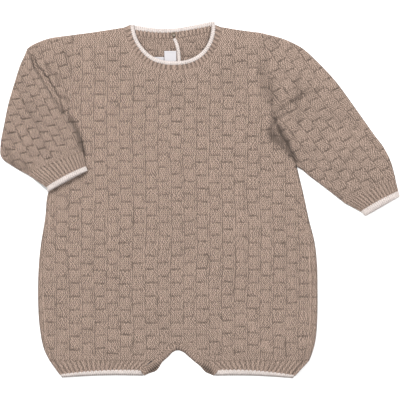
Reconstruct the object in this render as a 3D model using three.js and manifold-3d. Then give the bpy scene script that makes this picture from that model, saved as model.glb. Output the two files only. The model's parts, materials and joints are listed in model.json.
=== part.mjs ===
// Knitted baby romper with long sleeves and short legs, laid flat with its front up.
// Millimetres, +Z up. While the pieces are cut, x runs to the right of the body's centre line and y runs
// up from the leg hems. At the end the whole group is moved so that its box stands centred on the origin.
import * as THREE from "three";
import { mergeVertices } from "three/addons/utils/BufferGeometryUtils.js";
import Module from "manifold-3d";

const wasm = await Module();
wasm.setup();

// The knit
const CLOTH = 1.8; // one layer
const LAYER_GAP = 0.3; // between two layers that lie on each other
const SEAM_GAP = 0.3; // between two pieces that are sewn together
const FRONT_LEVEL = CLOTH + LAYER_GAP; // underside of a front piece that lies on a back piece
const BLOCK = { width: 13.4, height: 14.1, relief: 0.7 }; // basket blocks, staggered from column to column
const RIB = { pitch: 4.2, neckPitch: 2.1, relief: 0.6 };
const TIP = { width: 4.2, roll: 0.7 }; // light edging knitted on to each rib
const EDGE_ROUND = 1.4; // how far a cut edge rolls over

// Body: distance of the side edges from the centre line, and how far the back wraps over to the front
const BODY_SIDES = [
  { y: 18, left: 134.5, right: 138.5, wrapLeft: 3, wrapRight: 4 },
  { y: 29, left: 140, right: 142.5, wrapLeft: 5, wrapRight: 7 },
  { y: 42, left: 143.3, right: 145.4, wrapLeft: 6, wrapRight: 8 },
  { y: 64, left: 146, right: 147, wrapLeft: 6, wrapRight: 8 },
  { y: 92, left: 146.8, right: 147.2, wrapLeft: 6, wrapRight: 8 },
  { y: 120, left: 145.8, right: 146.6, wrapLeft: 6, wrapRight: 8 },
  { y: 143, left: 143.3, right: 144, wrapLeft: 6, wrapRight: 7 },
  { y: 168, left: 139.2, right: 137.8, wrapLeft: 5, wrapRight: 5 },
  { y: 193, left: 136.5, right: 132.4, wrapLeft: 4, wrapRight: 4 },
  { y: 222, left: 126, right: 125.5, wrapLeft: 3, wrapRight: 3 },
];
const ARMHOLES = [
  { y: 222, left: 126, right: 125.5 },
  { y: 240, left: 123, right: 118 },
  { y: 256, left: 119.5, right: 108.5 },
  { y: 276, left: 115, right: 101.5 },
  { y: 298, left: 112, right: 97 },
  { y: 324, left: 110, right: 95 },
  { y: 349, left: 108.8, right: 91 },
  { y: 361.5, left: 108.5, right: 88.5 },
];
const SHOULDER_LEFT = [
  { x: -108.5, y: 360.5 },
  { x: -85.5, y: 363.5 },
  { x: -53, y: 368.5 },
];
const SHOULDER_RIGHT = [
  { x: 46.5, y: 368.5 },
  { x: 65.5, y: 365.3 },
  { x: 88.5, y: 362.5 },
];

// Neck: the front edge is a rounded U, the back edge a shallow hollow between the same corners
const NECK = { x: -3.5, y: 372.6, halfWidth: 43.4, depth: 44, power: 2.3, rib: 6, level: 3.4 };
const BACK_NECK = [
  { x: -46, y: 371.2 },
  { x: -30, y: 368.4 },
  { x: -15, y: 367.2 },
  { x: -1.5, y: 367.8 },
  { x: 16, y: 370.6 },
  { x: 30, y: 373.6 },
  { x: 38.8, y: 375.2 },
];
const SLIT = { x: 4.2, width: 0.8, foot: 300 }; // back neck opening

// Legs: each hem is three lines across the leg, and a rise is how far a line's middle stands above its ends
const HEMS = {
  left: {
    ribTop: [-134.5, 18, -27, 18],
    ribFoot: [-123.2, 3.4, -39.3, 8],
    ribRise: 2,
    foot: [-121.5, 1.2, -36.6, 3.2],
    footRise: 1.2,
  },
  right: {
    ribTop: [30.5, 18, 138.5, 18],
    ribFoot: [43.4, 8.4, 123.3, 2.4],
    ribRise: 2.1,
    foot: [40, 3.2, 121.5, 0.6],
    footRise: 1.2,
  },
};
const INSEAM = [
  { x: -35.5, y: 3 },
  { x: -23.5, y: 10.8 },
  { x: -17.3, y: 17 },
  { x: -10, y: 23.4 },
  { x: -5.8, y: 27.8 },
  { x: 0.5, y: 30 },
  { x: 6.8, y: 27.8 },
  { x: 12, y: 23.4 },
  { x: 19.5, y: 17 },
  { x: 28.5, y: 10.8 },
  { x: 39, y: 3 },
];
const INSEAM_BAND = 6.8;
const BACK_PROUD = 1.1; // how far the back shows past the front at the hems and the inseam

// Right sleeve: it lies flat on the table
const SLEEVE_RIGHT_TOP = [
  { x: 88.5, y: 362.5 },
  { x: 109.5, y: 357 },
  { x: 124.5, y: 350.5 },
  { x: 134, y: 344.5 },
  { x: 147.5, y: 332 },
  { x: 160, y: 319 },
  { x: 170.5, y: 306.5 },
  { x: 188.5, y: 281.5 },
  { x: 206.5, y: 256 },
  { x: 216, y: 243.5 },
  { x: 224, y: 228 },
  { x: 228.8, y: 210.5 },
];
const SLEEVE_RIGHT_FOOT = [
  { x: 176.2, y: 183.2 },
  { x: 156, y: 199 },
  { x: 139, y: 211.8 },
  { x: 132, y: 217.8 },
  { x: 125.5, y: 222 },
];
const CUFF_RIGHT = { top: [176.2, 183.2, 228.8, 210.5], foot: [192.8, 174.2, 232.4, 195.8], end: [197.4, 169.8, 233.6, 190.6] };
const SLEEVE_RIGHT_TURN = THREE.MathUtils.degToRad(37); // turn of its knit columns

// Left sleeve: its cap lies flat, and from the pleat on it is turned down over the side of the body
const PLEAT = [
  { x: -153.5, y: 344 },
  { x: -153, y: 332 },
  { x: -148, y: 321.5 },
  { x: -141, y: 311 },
  { x: -129.5, y: 294 },
  { x: -119, y: 278 },
  { x: -111, y: 266.5 },
  { x: -104, y: 257.5 },
  { x: -100.5, y: 249 },
  { x: -99, y: 238.5 },
];
const SLEEVE_LEFT_OUTSIDE = [
  { x: -159.5, y: 214.6 },
  { x: -167.5, y: 218.8 },
  { x: -176, y: 224.2 },
  { x: -183, y: 229 },
  { x: -186.2, y: 234.5 },
  { x: -186.4, y: 241 },
  { x: -185.5, y: 250 },
  { x: -183, y: 263 },
  { x: -178, y: 287.5 },
  { x: -170.5, y: 313 },
  { x: -166, y: 326 },
  { x: -161, y: 338 },
  { x: -158, y: 346 },
];
const CAP_TOP = [
  { x: -158, y: 346 },
  { x: -151.5, y: 350.5 },
  { x: -137, y: 356.3 },
  { x: -123.5, y: 358.8 },
  { x: -108.5, y: 360.5 },
];
const CUFF_LEFT = { top: [-159.5, 214.6, -99, 238.5], foot: [-137.2, 199.7, -95.5, 221.5], end: [-136.2, 195.2, -94, 217.8] };
const SLEEVE_LEFT_TURN = THREE.MathUtils.degToRad(27);
const CAP_TURN = THREE.MathUtils.degToRad(20);
// Edge of what the turned sleeve lies on: the hidden edge of the cap, then the side of the body
const SUPPORT = [
  { y: 346, x: -158 },
  { y: 334, x: -156 },
  { y: 313, x: -150 },
  { y: 285, x: -140 },
  { y: 260, x: -131 },
  { y: 240, x: -127 },
  { y: 222, x: -126 },
  { y: 208, x: -131.5 },
  { y: 193, x: -136.5 },
];
const SLEEVE_LIFT = { height: 5.7, from: 22, to: 8, meets: 345, clear: 328 };

// How far the upper layer stands off the lower one, and over what distance it rises from an edge
const LOFT = {
  front: { height: 2.2, reach: 45 },
  sleeveRight: { height: 2.6, reach: 30 },
  sleeveLeft: { height: 1.4, reach: 30 },
  cap: { height: 0.7, reach: 20 },
  neck: { height: 1.3, reach: 26 },
};

// Largest folds: soft ridges and troughs from one point to another
const FOLDS = {
  front: [
    { from: [84, 296], to: [104, 246], width: 9, height: 1.3 },
    { from: [-96, 262], to: [-92, 206], width: 8, height: 0.7 },
    { from: [-120, 34], to: [-62, 27], width: 6, height: 0.8 },
    { from: [-66, 42], to: [-34, 33], width: 5, height: 0.7 },
    { from: [48, 34], to: [108, 26], width: 6, height: 0.8 },
    { from: [92, 44], to: [132, 36], width: 5, height: 0.6 },
    { from: [0.5, 42], to: [0.5, 66], width: 7, height: 0.6 },
  ],
  sleeveRight: [
    { from: [112, 270], to: [122, 248], width: 9, height: 1.2 },
    { from: [106, 281], to: [150, 305], width: 3.5, height: -0.8 },
    { from: [127, 286], to: [130, 252], width: 4, height: -0.8 },
    { from: [108, 262], to: [116, 276], width: 3, height: -0.7 },
    { from: [150, 262], to: [196, 214], width: 10, height: 0.8 },
  ],
  sleeveLeft: [
    { from: [-176, 300], to: [-150, 246], width: 9, height: 0.7 },
    { from: [-176, 226], to: [-140, 212], width: 4, height: -0.8 },
    { from: [-168, 232], to: [-132, 222], width: 5, height: 0.6 },
  ],
  cap: [
    { from: [-148, 333], to: [-145, 325], width: 2.6, height: -0.7 },
    { from: [-139, 329], to: [-134, 320], width: 2.8, height: -0.7 },
    { from: [-127, 321], to: [-125, 314], width: 2.6, height: -0.7 },
    { from: [-134, 302], to: [-116, 290], width: 3, height: -0.7 },
  ],
};

const KNIT = { color: 0xa8978a, roughness: 0.95 };
const LIGHT_KNIT = { color: 0xe6dcd2, roughness: 0.95 };
const LABEL_CLOTH = { color: 0xe4e2e6, roughness: 0.8 };
const BUTTON_HORN = { color: 0x4d4232, roughness: 0.5 };

// Curves

const point = (x, y) => new THREE.Vector2(x, y);
const pointsOf = (rows) => rows.map((row) => point(row.x, row.y));

// An even run of points along a smooth curve through the rows
function smooth(rows, spacing = 9) {
  const curve = new THREE.SplineCurve(pointsOf(rows));
  return curve.getSpacedPoints(Math.max(2, Math.round(curve.getLength() / spacing)));
}

// Value of a column of a table at y, read between its rows
function valueAt(rows, column, y) {
  const upward = rows[0].y < rows[rows.length - 1].y ? rows : [...rows].reverse();
  const next = upward.findIndex((row) => row.y >= y);
  if (next === 0) return upward[0][column];
  if (next < 0) return upward[upward.length - 1][column];
  const [a, b] = [upward[next - 1], upward[next]];
  return THREE.MathUtils.mapLinear(y, a.y, b.y, a[column], b[column]);
}

// The path moved to its left by a distance
function beside(path, distance) {
  return path.map((p, i) => {
    const before = path[Math.max(i - 1, 0)];
    const after = path[Math.min(i + 1, path.length - 1)];
    const along = after.clone().sub(before).normalize();
    return point(p.x - along.y * distance, p.y + along.x * distance);
  });
}

// A closed outline drawn in by a distance
function inset(outline, distance) {
  const turn = THREE.ShapeUtils.area(outline) > 0 ? 1 : -1;
  return outline.map((p, i) => {
    const before = outline[(i + outline.length - 1) % outline.length];
    const after = outline[(i + 1) % outline.length];
    const a = p.clone().sub(before).normalize();
    const b = after.clone().sub(p).normalize();
    const along = a.add(b).normalize();
    const stretch = Math.max(0.5, Math.abs(along.dot(b)));
    return point(p.x - (along.y * turn * distance) / stretch, p.y + (along.x * turn * distance) / stretch);
  });
}

// Joins runs of points into one outline and drops points that fall together
function outlineOf(...runs) {
  const all = runs.flat();
  return all.filter((p, i) => p.distanceTo(all[(i + all.length - 1) % all.length]) > 0.6);
}

function distanceToPath(path, x, y, closed = false) {
  let nearest = Infinity;
  for (let i = closed ? 0 : 1; i < path.length; i++) {
    const a = path[(i + path.length - 1) % path.length];
    const b = path[i];
    const [dx, dy] = [b.x - a.x, b.y - a.y];
    const share = THREE.MathUtils.clamp(((x - a.x) * dx + (y - a.y) * dy) / (dx * dx + dy * dy), 0, 1);
    nearest = Math.min(nearest, Math.hypot(x - a.x - share * dx, y - a.y - share * dy));
  }
  return nearest;
}

const between = (ends, share) =>
  point(
    THREE.MathUtils.lerp(ends[0], ends[2], share),
    THREE.MathUtils.lerp(ends[1], ends[3], share),
  );

// Solids

// A closed geometry as a solid that can be joined and cut
function solidOf(geometry) {
  geometry.deleteAttribute("normal");
  geometry.deleteAttribute("uv");
  const merged = mergeVertices(geometry, 1e-4);
  return new wasm.Manifold(
    new wasm.Mesh({
      numProp: 3,
      vertProperties: merged.attributes.position.array,
      triVerts: new Uint32Array(merged.index.array),
    }),
  );
}

// A closed surface from points and triangles, turned so that its faces point outwards
function surface(points, triangles) {
  const volume = triangles.reduce(
    (sum, [a, b, c]) => sum + points[a].dot(new THREE.Vector3().crossVectors(points[b], points[c])),
    0,
  );
  const faces = volume > 0 ? triangles : triangles.map(([a, b, c]) => [a, c, b]);
  const geometry = new THREE.BufferGeometry().setFromPoints(points);
  geometry.setIndex(faces.flat());
  return solidOf(geometry);
}

function meshOf(name, solid, finish) {
  const made = solid.getMesh();
  const positions = new Float32Array(made.numVert * 3);
  for (let i = 0; i < made.numVert; i++)
    positions.set(made.vertProperties.subarray(i * made.numProp, i * made.numProp + 3), i * 3);
  const geometry = new THREE.BufferGeometry();
  geometry.setAttribute("position", new THREE.BufferAttribute(positions, 3));
  geometry.setIndex(new THREE.BufferAttribute(made.triVerts, 1));
  geometry.computeVertexNormals();
  const mesh = new THREE.Mesh(geometry, new THREE.MeshStandardMaterial(finish));
  mesh.name = name;
  return mesh;
}

// A straight-sided prism over an outline
function prism(outline, low, high) {
  const geometry = new THREE.ExtrudeGeometry(new THREE.Shape(outline), {
    depth: high - low,
    bevelEnabled: false,
    steps: 1,
  });
  return solidOf(geometry.translate(0, 0, low));
}

// A prism whose upper edge rolls over between two heights, and which is drawn in above them
function rolledPrism(outline, shoulder, round) {
  const depth = shoulder + 20;
  const rolled = new THREE.ExtrudeGeometry(new THREE.Shape(outline), {
    depth,
    steps: 1,
    bevelEnabled: true,
    bevelThickness: round,
    bevelSize: round,
    bevelOffset: -round,
    bevelSegments: 1,
  });
  return solidOf(rolled.translate(0, 0, shoulder - depth)).add(prism(inset(outline, round), 0, 40));
}

// A sheet of cloth over a lattice that is turned with the knit. The upper side has the fine lattice, and the
// lower side has one point for every `coarse` of its lines.
function sheet({ over, turn, origin, fine, coarse, top, bottom }) {
  const [ux, uy] = [Math.cos(turn), Math.sin(turn)];
  const local = over.map((p) => ({
    u: (p.x - origin.x) * ux + (p.y - origin.y) * uy,
    v: -(p.x - origin.x) * uy + (p.y - origin.y) * ux,
  }));
  const range = (key, step) => {
    const values = local.map((p) => p[key]);
    const low = Math.floor((Math.min(...values) - 1) / step);
    const count = Math.ceil((Math.max(...values) + 1) / step) - low;
    return { low: low * step, count };
  };
  const across = range("u", fine.u * coarse.u);
  const along = range("v", fine.v * coarse.v);
  const [nu, nv] = [across.count * coarse.u, along.count * coarse.v];
  const points = [];
  const put = (i, j, height) => {
    const [u, v] = [across.low + i * fine.u, along.low + j * fine.v];
    const [x, y] = [origin.x + u * ux - v * uy, origin.y + u * uy + v * ux];
    points.push(new THREE.Vector3(x, y, height(x, y, u, v)));
  };
  for (let j = 0; j <= nv; j++) for (let i = 0; i <= nu; i++) put(i, j, top);
  const lower = points.length;
  for (let j = 0; j <= nv; j += coarse.v) for (let i = 0; i <= nu; i += coarse.u) put(i, j, bottom);
  const upperAt = (i, j) => j * (nu + 1) + i;
  const lowerAt = (i, j) => lower + (j / coarse.v) * (nu / coarse.u + 1) + i / coarse.u;
  const triangles = [];
  for (let j = 0; j < nv; j++)
    for (let i = 0; i < nu; i++) {
      const [a, b, c, d] = [upperAt(i, j), upperAt(i + 1, j), upperAt(i + 1, j + 1), upperAt(i, j + 1)];
      triangles.push([a, b, c], [a, c, d]);
    }
  for (let j = 0; j < nv; j += coarse.v)
    for (let i = 0; i < nu; i += coarse.u) {
      const [k, l] = [i + coarse.u, j + coarse.v];
      const [a, b, c, d] = [lowerAt(i, j), lowerAt(k, j), lowerAt(k, l), lowerAt(i, l)];
      triangles.push([a, c, b], [a, d, c]);
    }
  const wall = (i, j, di, dj, count) => {
    const [from, to] = [lowerAt(i, j), lowerAt(i + di * count, j + dj * count)];
    triangles.push([from, to, upperAt(i + di * count, j + dj * count)]);
    for (let k = 0; k < count; k++)
      triangles.push([from, upperAt(i + di * (k + 1), j + dj * (k + 1)), upperAt(i + di * k, j + dj * k)]);
  };
  for (let i = 0; i < nu; i += coarse.u) {
    wall(i, 0, 1, 0, coarse.u);
    wall(nu - i, nv, -1, 0, coarse.u);
  }
  for (let j = 0; j < nv; j += coarse.v) {
    wall(nu, j, 0, 1, coarse.v);
    wall(0, nv - j, 0, -1, coarse.v);
  }
  return surface(points, triangles);
}

// A strip along a path, from the closed ring of points round it at each step
function strip(rings) {
  const count = rings[0].length;
  const triangles = [];
  for (let i = 0; i + 1 < rings.length; i++)
    for (let j = 0; j < count; j++) {
      const k = (j + 1) % count;
      const [a, b, c, d] = [i * count + j, i * count + k, (i + 1) * count + k, (i + 1) * count + j];
      triangles.push([a, b, c], [a, c, d]);
    }
  const last = (rings.length - 1) * count;
  for (let j = 1; j + 1 < count; j++) triangles.push([0, j + 1, j], [last, last + j, last + j + 1]);
  return surface(rings.flat(), triangles);
}

// A tube wall, from its section at each step round it: the outer points one way, then the inner ones back
function tube(sections) {
  const count = sections[0].length;
  const triangles = [];
  sections.forEach((_, i) => {
    const next = (i + 1) % sections.length;
    for (let j = 0; j < count; j++) {
      const k = (j + 1) % count;
      const [a, b, c, d] = [i * count + j, i * count + k, next * count + k, next * count + j];
      triangles.push([a, b, c], [a, c, d]);
    }
  });
  return surface(sections.flat(), triangles);
}

// Heights

const FINE = { u: BLOCK.width / 2, v: BLOCK.height / 2 };
const BODY_ORIGIN = { x: 18.9, y: 128 }; // a corner of a knitted block

// Height of the basket blocks, from 0 in the furrows to 1
function basket(u, v) {
  const column = Math.floor(u / BLOCK.width + 1e-6);
  const across = u / BLOCK.width - column;
  const along = v / BLOCK.height + (column % 2 ? 0.5 : 0);
  const crown = Math.sin(Math.PI * across) * Math.sin(Math.PI * (along - Math.floor(along + 1e-6)));
  return Math.min(1, 1.5 * Math.max(0, crown));
}

function foldHeight(folds, x, y) {
  return folds.reduce((sum, fold) => {
    const away = distanceToPath([point(...fold.from), point(...fold.to)], x, y) / fold.width;
    return sum + fold.height * Math.exp(-away * away);
  }, 0);
}

// A quarter ellipse that rises from an edge
function rise({ height, reach }, distance) {
  const share = THREE.MathUtils.clamp(distance / reach, 0, 1);
  return height * Math.sqrt(1 - (1 - share) ** 2);
}

// Height of the underside of the turned-down sleeve
function sleeveBase(x, y) {
  const outside = valueAt(SUPPORT, "x", y) - x;
  const lifted = 1 - THREE.MathUtils.smoothstep(outside, SLEEVE_LIFT.to, SLEEVE_LIFT.from);
  const parted = 1 - THREE.MathUtils.smoothstep(y, SLEEVE_LIFT.clear, SLEEVE_LIFT.meets);
  return SLEEVE_LIFT.height * lifted * parted;
}

// Edges that pieces share

const sidePath = (place) =>
  new THREE.SplineCurve(BODY_SIDES.map((row) => point(place(row), row.y))).getPoints(BODY_SIDES.length * 2 - 2);
const sideLeft = sidePath((row) => -row.left);
const sideRight = sidePath((row) => row.right);
const wrapLeft = sidePath((row) => row.wrapLeft - row.left);
const wrapRight = sidePath((row) => row.right - row.wrapRight);
const armholeLeft = smooth(ARMHOLES.map((row) => ({ x: -row.left, y: row.y })), 14);
const armholeRight = smooth(ARMHOLES.map((row) => ({ x: row.right, y: row.y })), 14);
const inseam = smooth(INSEAM, 6);
const inseamTop = beside(inseam, INSEAM_BAND);
const neckCorner = { from: 0.02, to: Math.PI - 0.02 };

// The front neck edge from its left corner to its right one, moved out by a distance
function frontNeck(out, count) {
  return Array.from({ length: count + 1 }, (_, i) => {
    const angle = THREE.MathUtils.lerp(neckCorner.to, neckCorner.from, i / count);
    const [c, s] = [Math.cos(angle), Math.sin(angle)];
    return point(
      NECK.x + (NECK.halfWidth + out) * Math.sign(c) * Math.abs(c) ** (2 / NECK.power),
      NECK.y - (NECK.depth + out) * Math.abs(s) ** (2 / NECK.power),
    );
  });
}

function bodyOutline(left, right, neckline) {
  const neckLeft = neckline[0];
  const neckRight = neckline[neckline.length - 1];
  return outlineOf(
    [left[0], between(HEMS.left.ribTop, 1)],
    inseamTop.filter((p) => p.y > HEMS.left.ribTop[1] + 0.5),
    [between(HEMS.right.ribTop, 0), right[0]],
    right.slice(1),
    armholeRight.slice(1),
    smooth(SHOULDER_RIGHT, 14).reverse().slice(1).filter((p) => p.x > neckRight.x + 2),
    [...neckline].reverse(),
    smooth(SHOULDER_LEFT, 14).reverse().filter((p) => p.x < neckLeft.x - 2),
    [...armholeLeft].reverse().slice(1),
    [...left].reverse().slice(0, -1),
  );
}

const cut = (outline) => inset(outline, SEAM_GAP / 2);
const slitOutline = [
  point(SLIT.x - SLIT.width / 2, SLIT.foot),
  point(SLIT.x + SLIT.width / 2, SLIT.foot),
  point(SLIT.x + SLIT.width / 2, 400),
  point(SLIT.x - SLIT.width / 2, 400),
];

// Body

const frontNeckline = frontNeck(NECK.rib + SEAM_GAP, 30).filter((p) => p.y < 369.5);
const frontOutline = bodyOutline(wrapLeft, wrapRight, frontNeckline);
const loftEdges = [...wrapLeft, ...[...wrapRight].reverse()];
const shoulderLine = [...pointsOf(SHOULDER_LEFT), ...pointsOf(SHOULDER_RIGHT)];

// How far the front stands off the back
function frontLoft(x, y) {
  const side = Math.min(
    distanceToPath(wrapLeft, x, y),
    distanceToPath(wrapRight, x, y),
    distanceToPath(armholeLeft, x, y),
    distanceToPath(armholeRight, x, y),
    distanceToPath(shoulderLine, x, y),
    Math.max(0, y - HEMS.left.ribTop[1]),
    distanceToPath(inseamTop, x, y),
  );
  const pressed =
    (1 - THREE.MathUtils.smoothstep(x - valueAt(PLEAT, "x", y), 0, 28)) *
    THREE.MathUtils.smoothstep(y, 170, 200);
  const neck = distanceToPath(frontNeckline, x, y) / LOFT.neck.reach;
  return rise(LOFT.front, side) * (1 - 0.8 * pressed) + LOFT.neck.height * Math.exp(-neck * neck);
}

// The basket pattern stops short of the shoulders, the neck and the leg ribs
function frontPattern(x, y) {
  const shoulder = THREE.MathUtils.smoothstep(distanceToPath(shoulderLine, x, y), 15, 20);
  const neck = THREE.MathUtils.smoothstep(distanceToPath(frontNeckline, x, y), 4, 8);
  const leg = THREE.MathUtils.smoothstep(y, HEMS.left.ribTop[1] + 3, HEMS.left.ribTop[1] + 7);
  const crotch = THREE.MathUtils.smoothstep(distanceToPath(inseamTop, x, y), 2, 6);
  return Math.min(shoulder, neck, leg, crotch);
}

function frontPanel() {
  const cloth = sheet({
    over: frontOutline,
    turn: 0,
    origin: BODY_ORIGIN,
    fine: FINE,
    coarse: { u: 2, v: 2 },
    top: (x, y, u, v) =>
      FRONT_LEVEL +
      CLOTH +
      frontLoft(x, y) +
      foldHeight(FOLDS.front, x, y) +
      BLOCK.relief * frontPattern(x, y) * basket(u, v),
    bottom: (x, y) => FRONT_LEVEL + frontLoft(x, y) + 0.6 * Math.max(0, foldHeight(FOLDS.front, x, y)),
  });
  return cloth.intersect(rolledPrism(cut(frontOutline), FRONT_LEVEL + 1, EDGE_ROUND));
}

// The back lies flat. Its sides turn over to the front, where the side seams show.
function backPanel() {
  const neckline = smooth(BACK_NECK, 10).map((p) => point(p.x, p.y - TIP.width - NECK.rib - SEAM_GAP));
  const halfway = (side, wrap) => side.map((p, i) => p.clone().lerp(wrap[i], 0.5));
  const outline = bodyOutline(halfway(sideLeft, wrapLeft), halfway(sideRight, wrapRight), neckline);
  const plate = prism(cut(outline), 0, CLOTH).subtract(prism(slitOutline, -5, 10));
  return plate.add(turnedSide(sideLeft, wrapLeft)).add(turnedSide(sideRight, wrapRight));
}

// The side of the back, from the fold at the outside to the seam on the front
function turnedSide(side, wrap) {
  const high = FRONT_LEVEL + CLOTH + 0.5;
  const last = side.length - 1;
  return strip(
    side.map((p, i) => {
      const lift = SEAM_GAP / 2 * ((i === 0) - (i === last));
      const width = p.distanceTo(wrap[i]);
      const at = (distance, z) => {
        const q = p.clone().lerp(wrap[i], distance / width);
        return new THREE.Vector3(q.x, q.y + lift, z);
      };
      const round = Math.min(EDGE_ROUND, width * 0.3);
      const inner = width - SEAM_GAP / 2;
      return [
        at(round * 0.6, 0),
        at(0, round),
        at(0, high - round * 1.5),
        at(round, high),
        at(inner - round * 0.7, high),
        at(inner, high - round),
        at(inner, 0),
      ];
    }),
  );
}

// Ribs, edgings and bands

// A ribbed strip between two paths with the same number of points: odd points are raised
function ribbedStrip(inner, outer, level, thickness, relief) {
  return strip(
    inner.map((a, i) => {
      const b = outer[i];
      const top = level + thickness + (i % 2 ? relief : 0);
      return [
        new THREE.Vector3(a.x, a.y, level),
        new THREE.Vector3(b.x, b.y, level),
        new THREE.Vector3(b.x, b.y, top),
        new THREE.Vector3(a.x, a.y, top),
      ];
    }),
  );
}

// A rolled edging between two paths: flat below, round above
function rolledStrip(inner, outer, level, height) {
  const arch = [0.62, 1, 0.62];
  return strip(
    inner.map((a, i) => {
      const b = outer[i];
      const over = arch.map((share, k) => {
        const p = b.clone().lerp(a, (k + 0.6) / (arch.length + 0.2));
        return new THREE.Vector3(p.x, p.y, level + height * share);
      });
      return [
        new THREE.Vector3(a.x, a.y, level),
        new THREE.Vector3(b.x, b.y, level),
        new THREE.Vector3(b.x, b.y, level + height * 0.4),
        ...over,
        new THREE.Vector3(a.x, a.y, level + height * 0.4),
      ];
    }),
  );
}

const TIP_HEIGHT = CLOTH + TIP.roll;

function frontNeckRib() {
  const count = 2 * Math.round((Math.PI * NECK.halfWidth) / RIB.neckPitch / 1.05);
  const inner = frontNeck(SEAM_GAP / 2, count);
  const outer = frontNeck(NECK.rib + SEAM_GAP / 2, count);
  return ribbedStrip(inner, outer, NECK.level, CLOTH, RIB.relief);
}

function frontNeckTip() {
  const count = 40;
  return rolledStrip(frontNeck(-TIP.width + 0.4, count), frontNeck(-SEAM_GAP / 2, count), NECK.level, TIP_HEIGHT + 0.4);
}

// The back neck edge on one side of the slit, moved down by a distance
function backNeck(side, down, count) {
  const curve = new THREE.SplineCurve(pointsOf(BACK_NECK));
  const edge = SLIT.x + (side * SLIT.width) / 2;
  const run = curve.getSpacedPoints(120).filter((p) => side * (p.x - edge) > 0);
  const path = new THREE.SplineCurve(side < 0 ? run : run.reverse()).getSpacedPoints(count);
  return path.map((p) => point(p.x, p.y - down));
}

function backNeckRib(side) {
  const count = side < 0 ? 26 : 18;
  const foot = TIP.width + NECK.rib;
  return ribbedStrip(
    backNeck(side, foot - SEAM_GAP / 2, count),
    backNeck(side, TIP.width + SEAM_GAP / 2, count),
    0,
    CLOTH,
    RIB.relief,
  );
}

function backNeckTip(side) {
  return rolledStrip(backNeck(side, TIP.width - SEAM_GAP / 2, 12), backNeck(side, 0, 12), 0, TIP_HEIGHT);
}

// A run of points along a hem line, whose middle stands above its ends
function hemLine(ends, rise, count, drop = 0) {
  return Array.from({ length: count + 1 }, (_, i) => {
    const p = between(ends, i / count);
    return point(p.x, p.y + rise * Math.sin((Math.PI * i) / count) - drop);
  });
}

const straightLine = (ends, count) => Array.from({ length: count + 1 }, (_, i) => between(ends, i / count));

function legRib(hem, front) {
  const count = front ? 2 * Math.round((hem.foot[2] - hem.foot[0]) / RIB.pitch) : 6;
  const top = straightLine(hem.ribTop, count).map((p) => point(p.x, p.y - SEAM_GAP / 2));
  const foot = hemLine(hem.ribFoot, hem.ribRise, count).map((p) => point(p.x, p.y + SEAM_GAP / 2));
  return ribbedStrip(foot, top, front ? FRONT_LEVEL : 0, CLOTH, front ? RIB.relief : 0);
}

function legTip(hem, front) {
  const drop = front ? 0 : BACK_PROUD;
  const top = hemLine(hem.ribFoot, hem.ribRise, 14).map((p) => point(p.x, p.y - SEAM_GAP / 2));
  const foot = hemLine(hem.foot, hem.footRise, 14, drop);
  return front ? rolledStrip(foot, top, FRONT_LEVEL, TIP_HEIGHT) : ribbedStrip(foot, top, 0, CLOTH, 0);
}

function inseamBand(front) {
  const count = front ? 2 * Math.round(new THREE.SplineCurve(pointsOf(INSEAM)).getLength() / RIB.pitch) : 24;
  const edge = new THREE.SplineCurve(pointsOf(INSEAM)).getSpacedPoints(count);
  const inner = beside(edge, front ? 0 : -BACK_PROUD);
  const outer = beside(edge, INSEAM_BAND - 1.5 * SEAM_GAP);
  return ribbedStrip(inner, outer, front ? FRONT_LEVEL : 0, CLOTH, front ? RIB.relief : 0);
}

// Sleeves

// The wall of a flattened sleeve: the cloth's outer shape with the space between its two layers cut out
function sleeveWall({ outline, hollow, turn, loft, folds, base, pattern, coarse }) {
  const loftAt = (x, y) => rise(loft, Math.min(...hollow.edges.map((path) => distanceToPath(path, x, y))));
  const origin = outline[0];
  const outer = sheet({
    over: outline,
    turn,
    origin,
    fine: FINE,
    coarse,
    top: (x, y, u, v) =>
      base(x, y) + 2 * CLOTH + LAYER_GAP + loftAt(x, y) + foldHeight(folds, x, y) + BLOCK.relief * pattern(x, y) * basket(u, v),
    bottom: base,
  }).intersect(rolledPrism(cut(outline), base.highest + CLOTH + LAYER_GAP, EDGE_ROUND));
  const space = sheet({
    over: hollow.outline,
    turn,
    origin,
    fine: { u: FINE.u * 2, v: FINE.v * 2 },
    coarse: { u: 1, v: 1 },
    top: (x, y) => base(x, y) + CLOTH + LAYER_GAP + loftAt(x, y),
    bottom: (x, y) => base(x, y) + CLOTH,
  }).intersect(prism(hollow.outline, -5, 60));
  return outer.subtract(space);
}

const onTable = Object.assign(() => 0, { highest: 0 });

function sleeveRight() {
  const top = smooth(SLEEVE_RIGHT_TOP, 12);
  const foot = smooth(SLEEVE_RIGHT_FOOT, 12);
  const outline = outlineOf(top, foot, armholeRight.slice(1, -1));
  const hollow = [
    ...beside(top, -4).slice(1, -1),
    point(236, 205),
    point(180, 172),
    ...beside(foot, -4).slice(1, -1),
    point(112, 226),
    point(70, 300),
    point(76, 350),
  ];
  return sleeveWall({
    outline,
    hollow: { outline: hollow, edges: [top, foot, armholeRight] },
    turn: SLEEVE_RIGHT_TURN,
    loft: LOFT.sleeveRight,
    folds: FOLDS.sleeveRight,
    base: onTable,
    pattern: (x, y) => THREE.MathUtils.smoothstep(distanceToPath(straightLine(CUFF_RIGHT.top, 4), x, y), 2, 6),
    coarse: { u: 4, v: 4 },
  });
}

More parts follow.
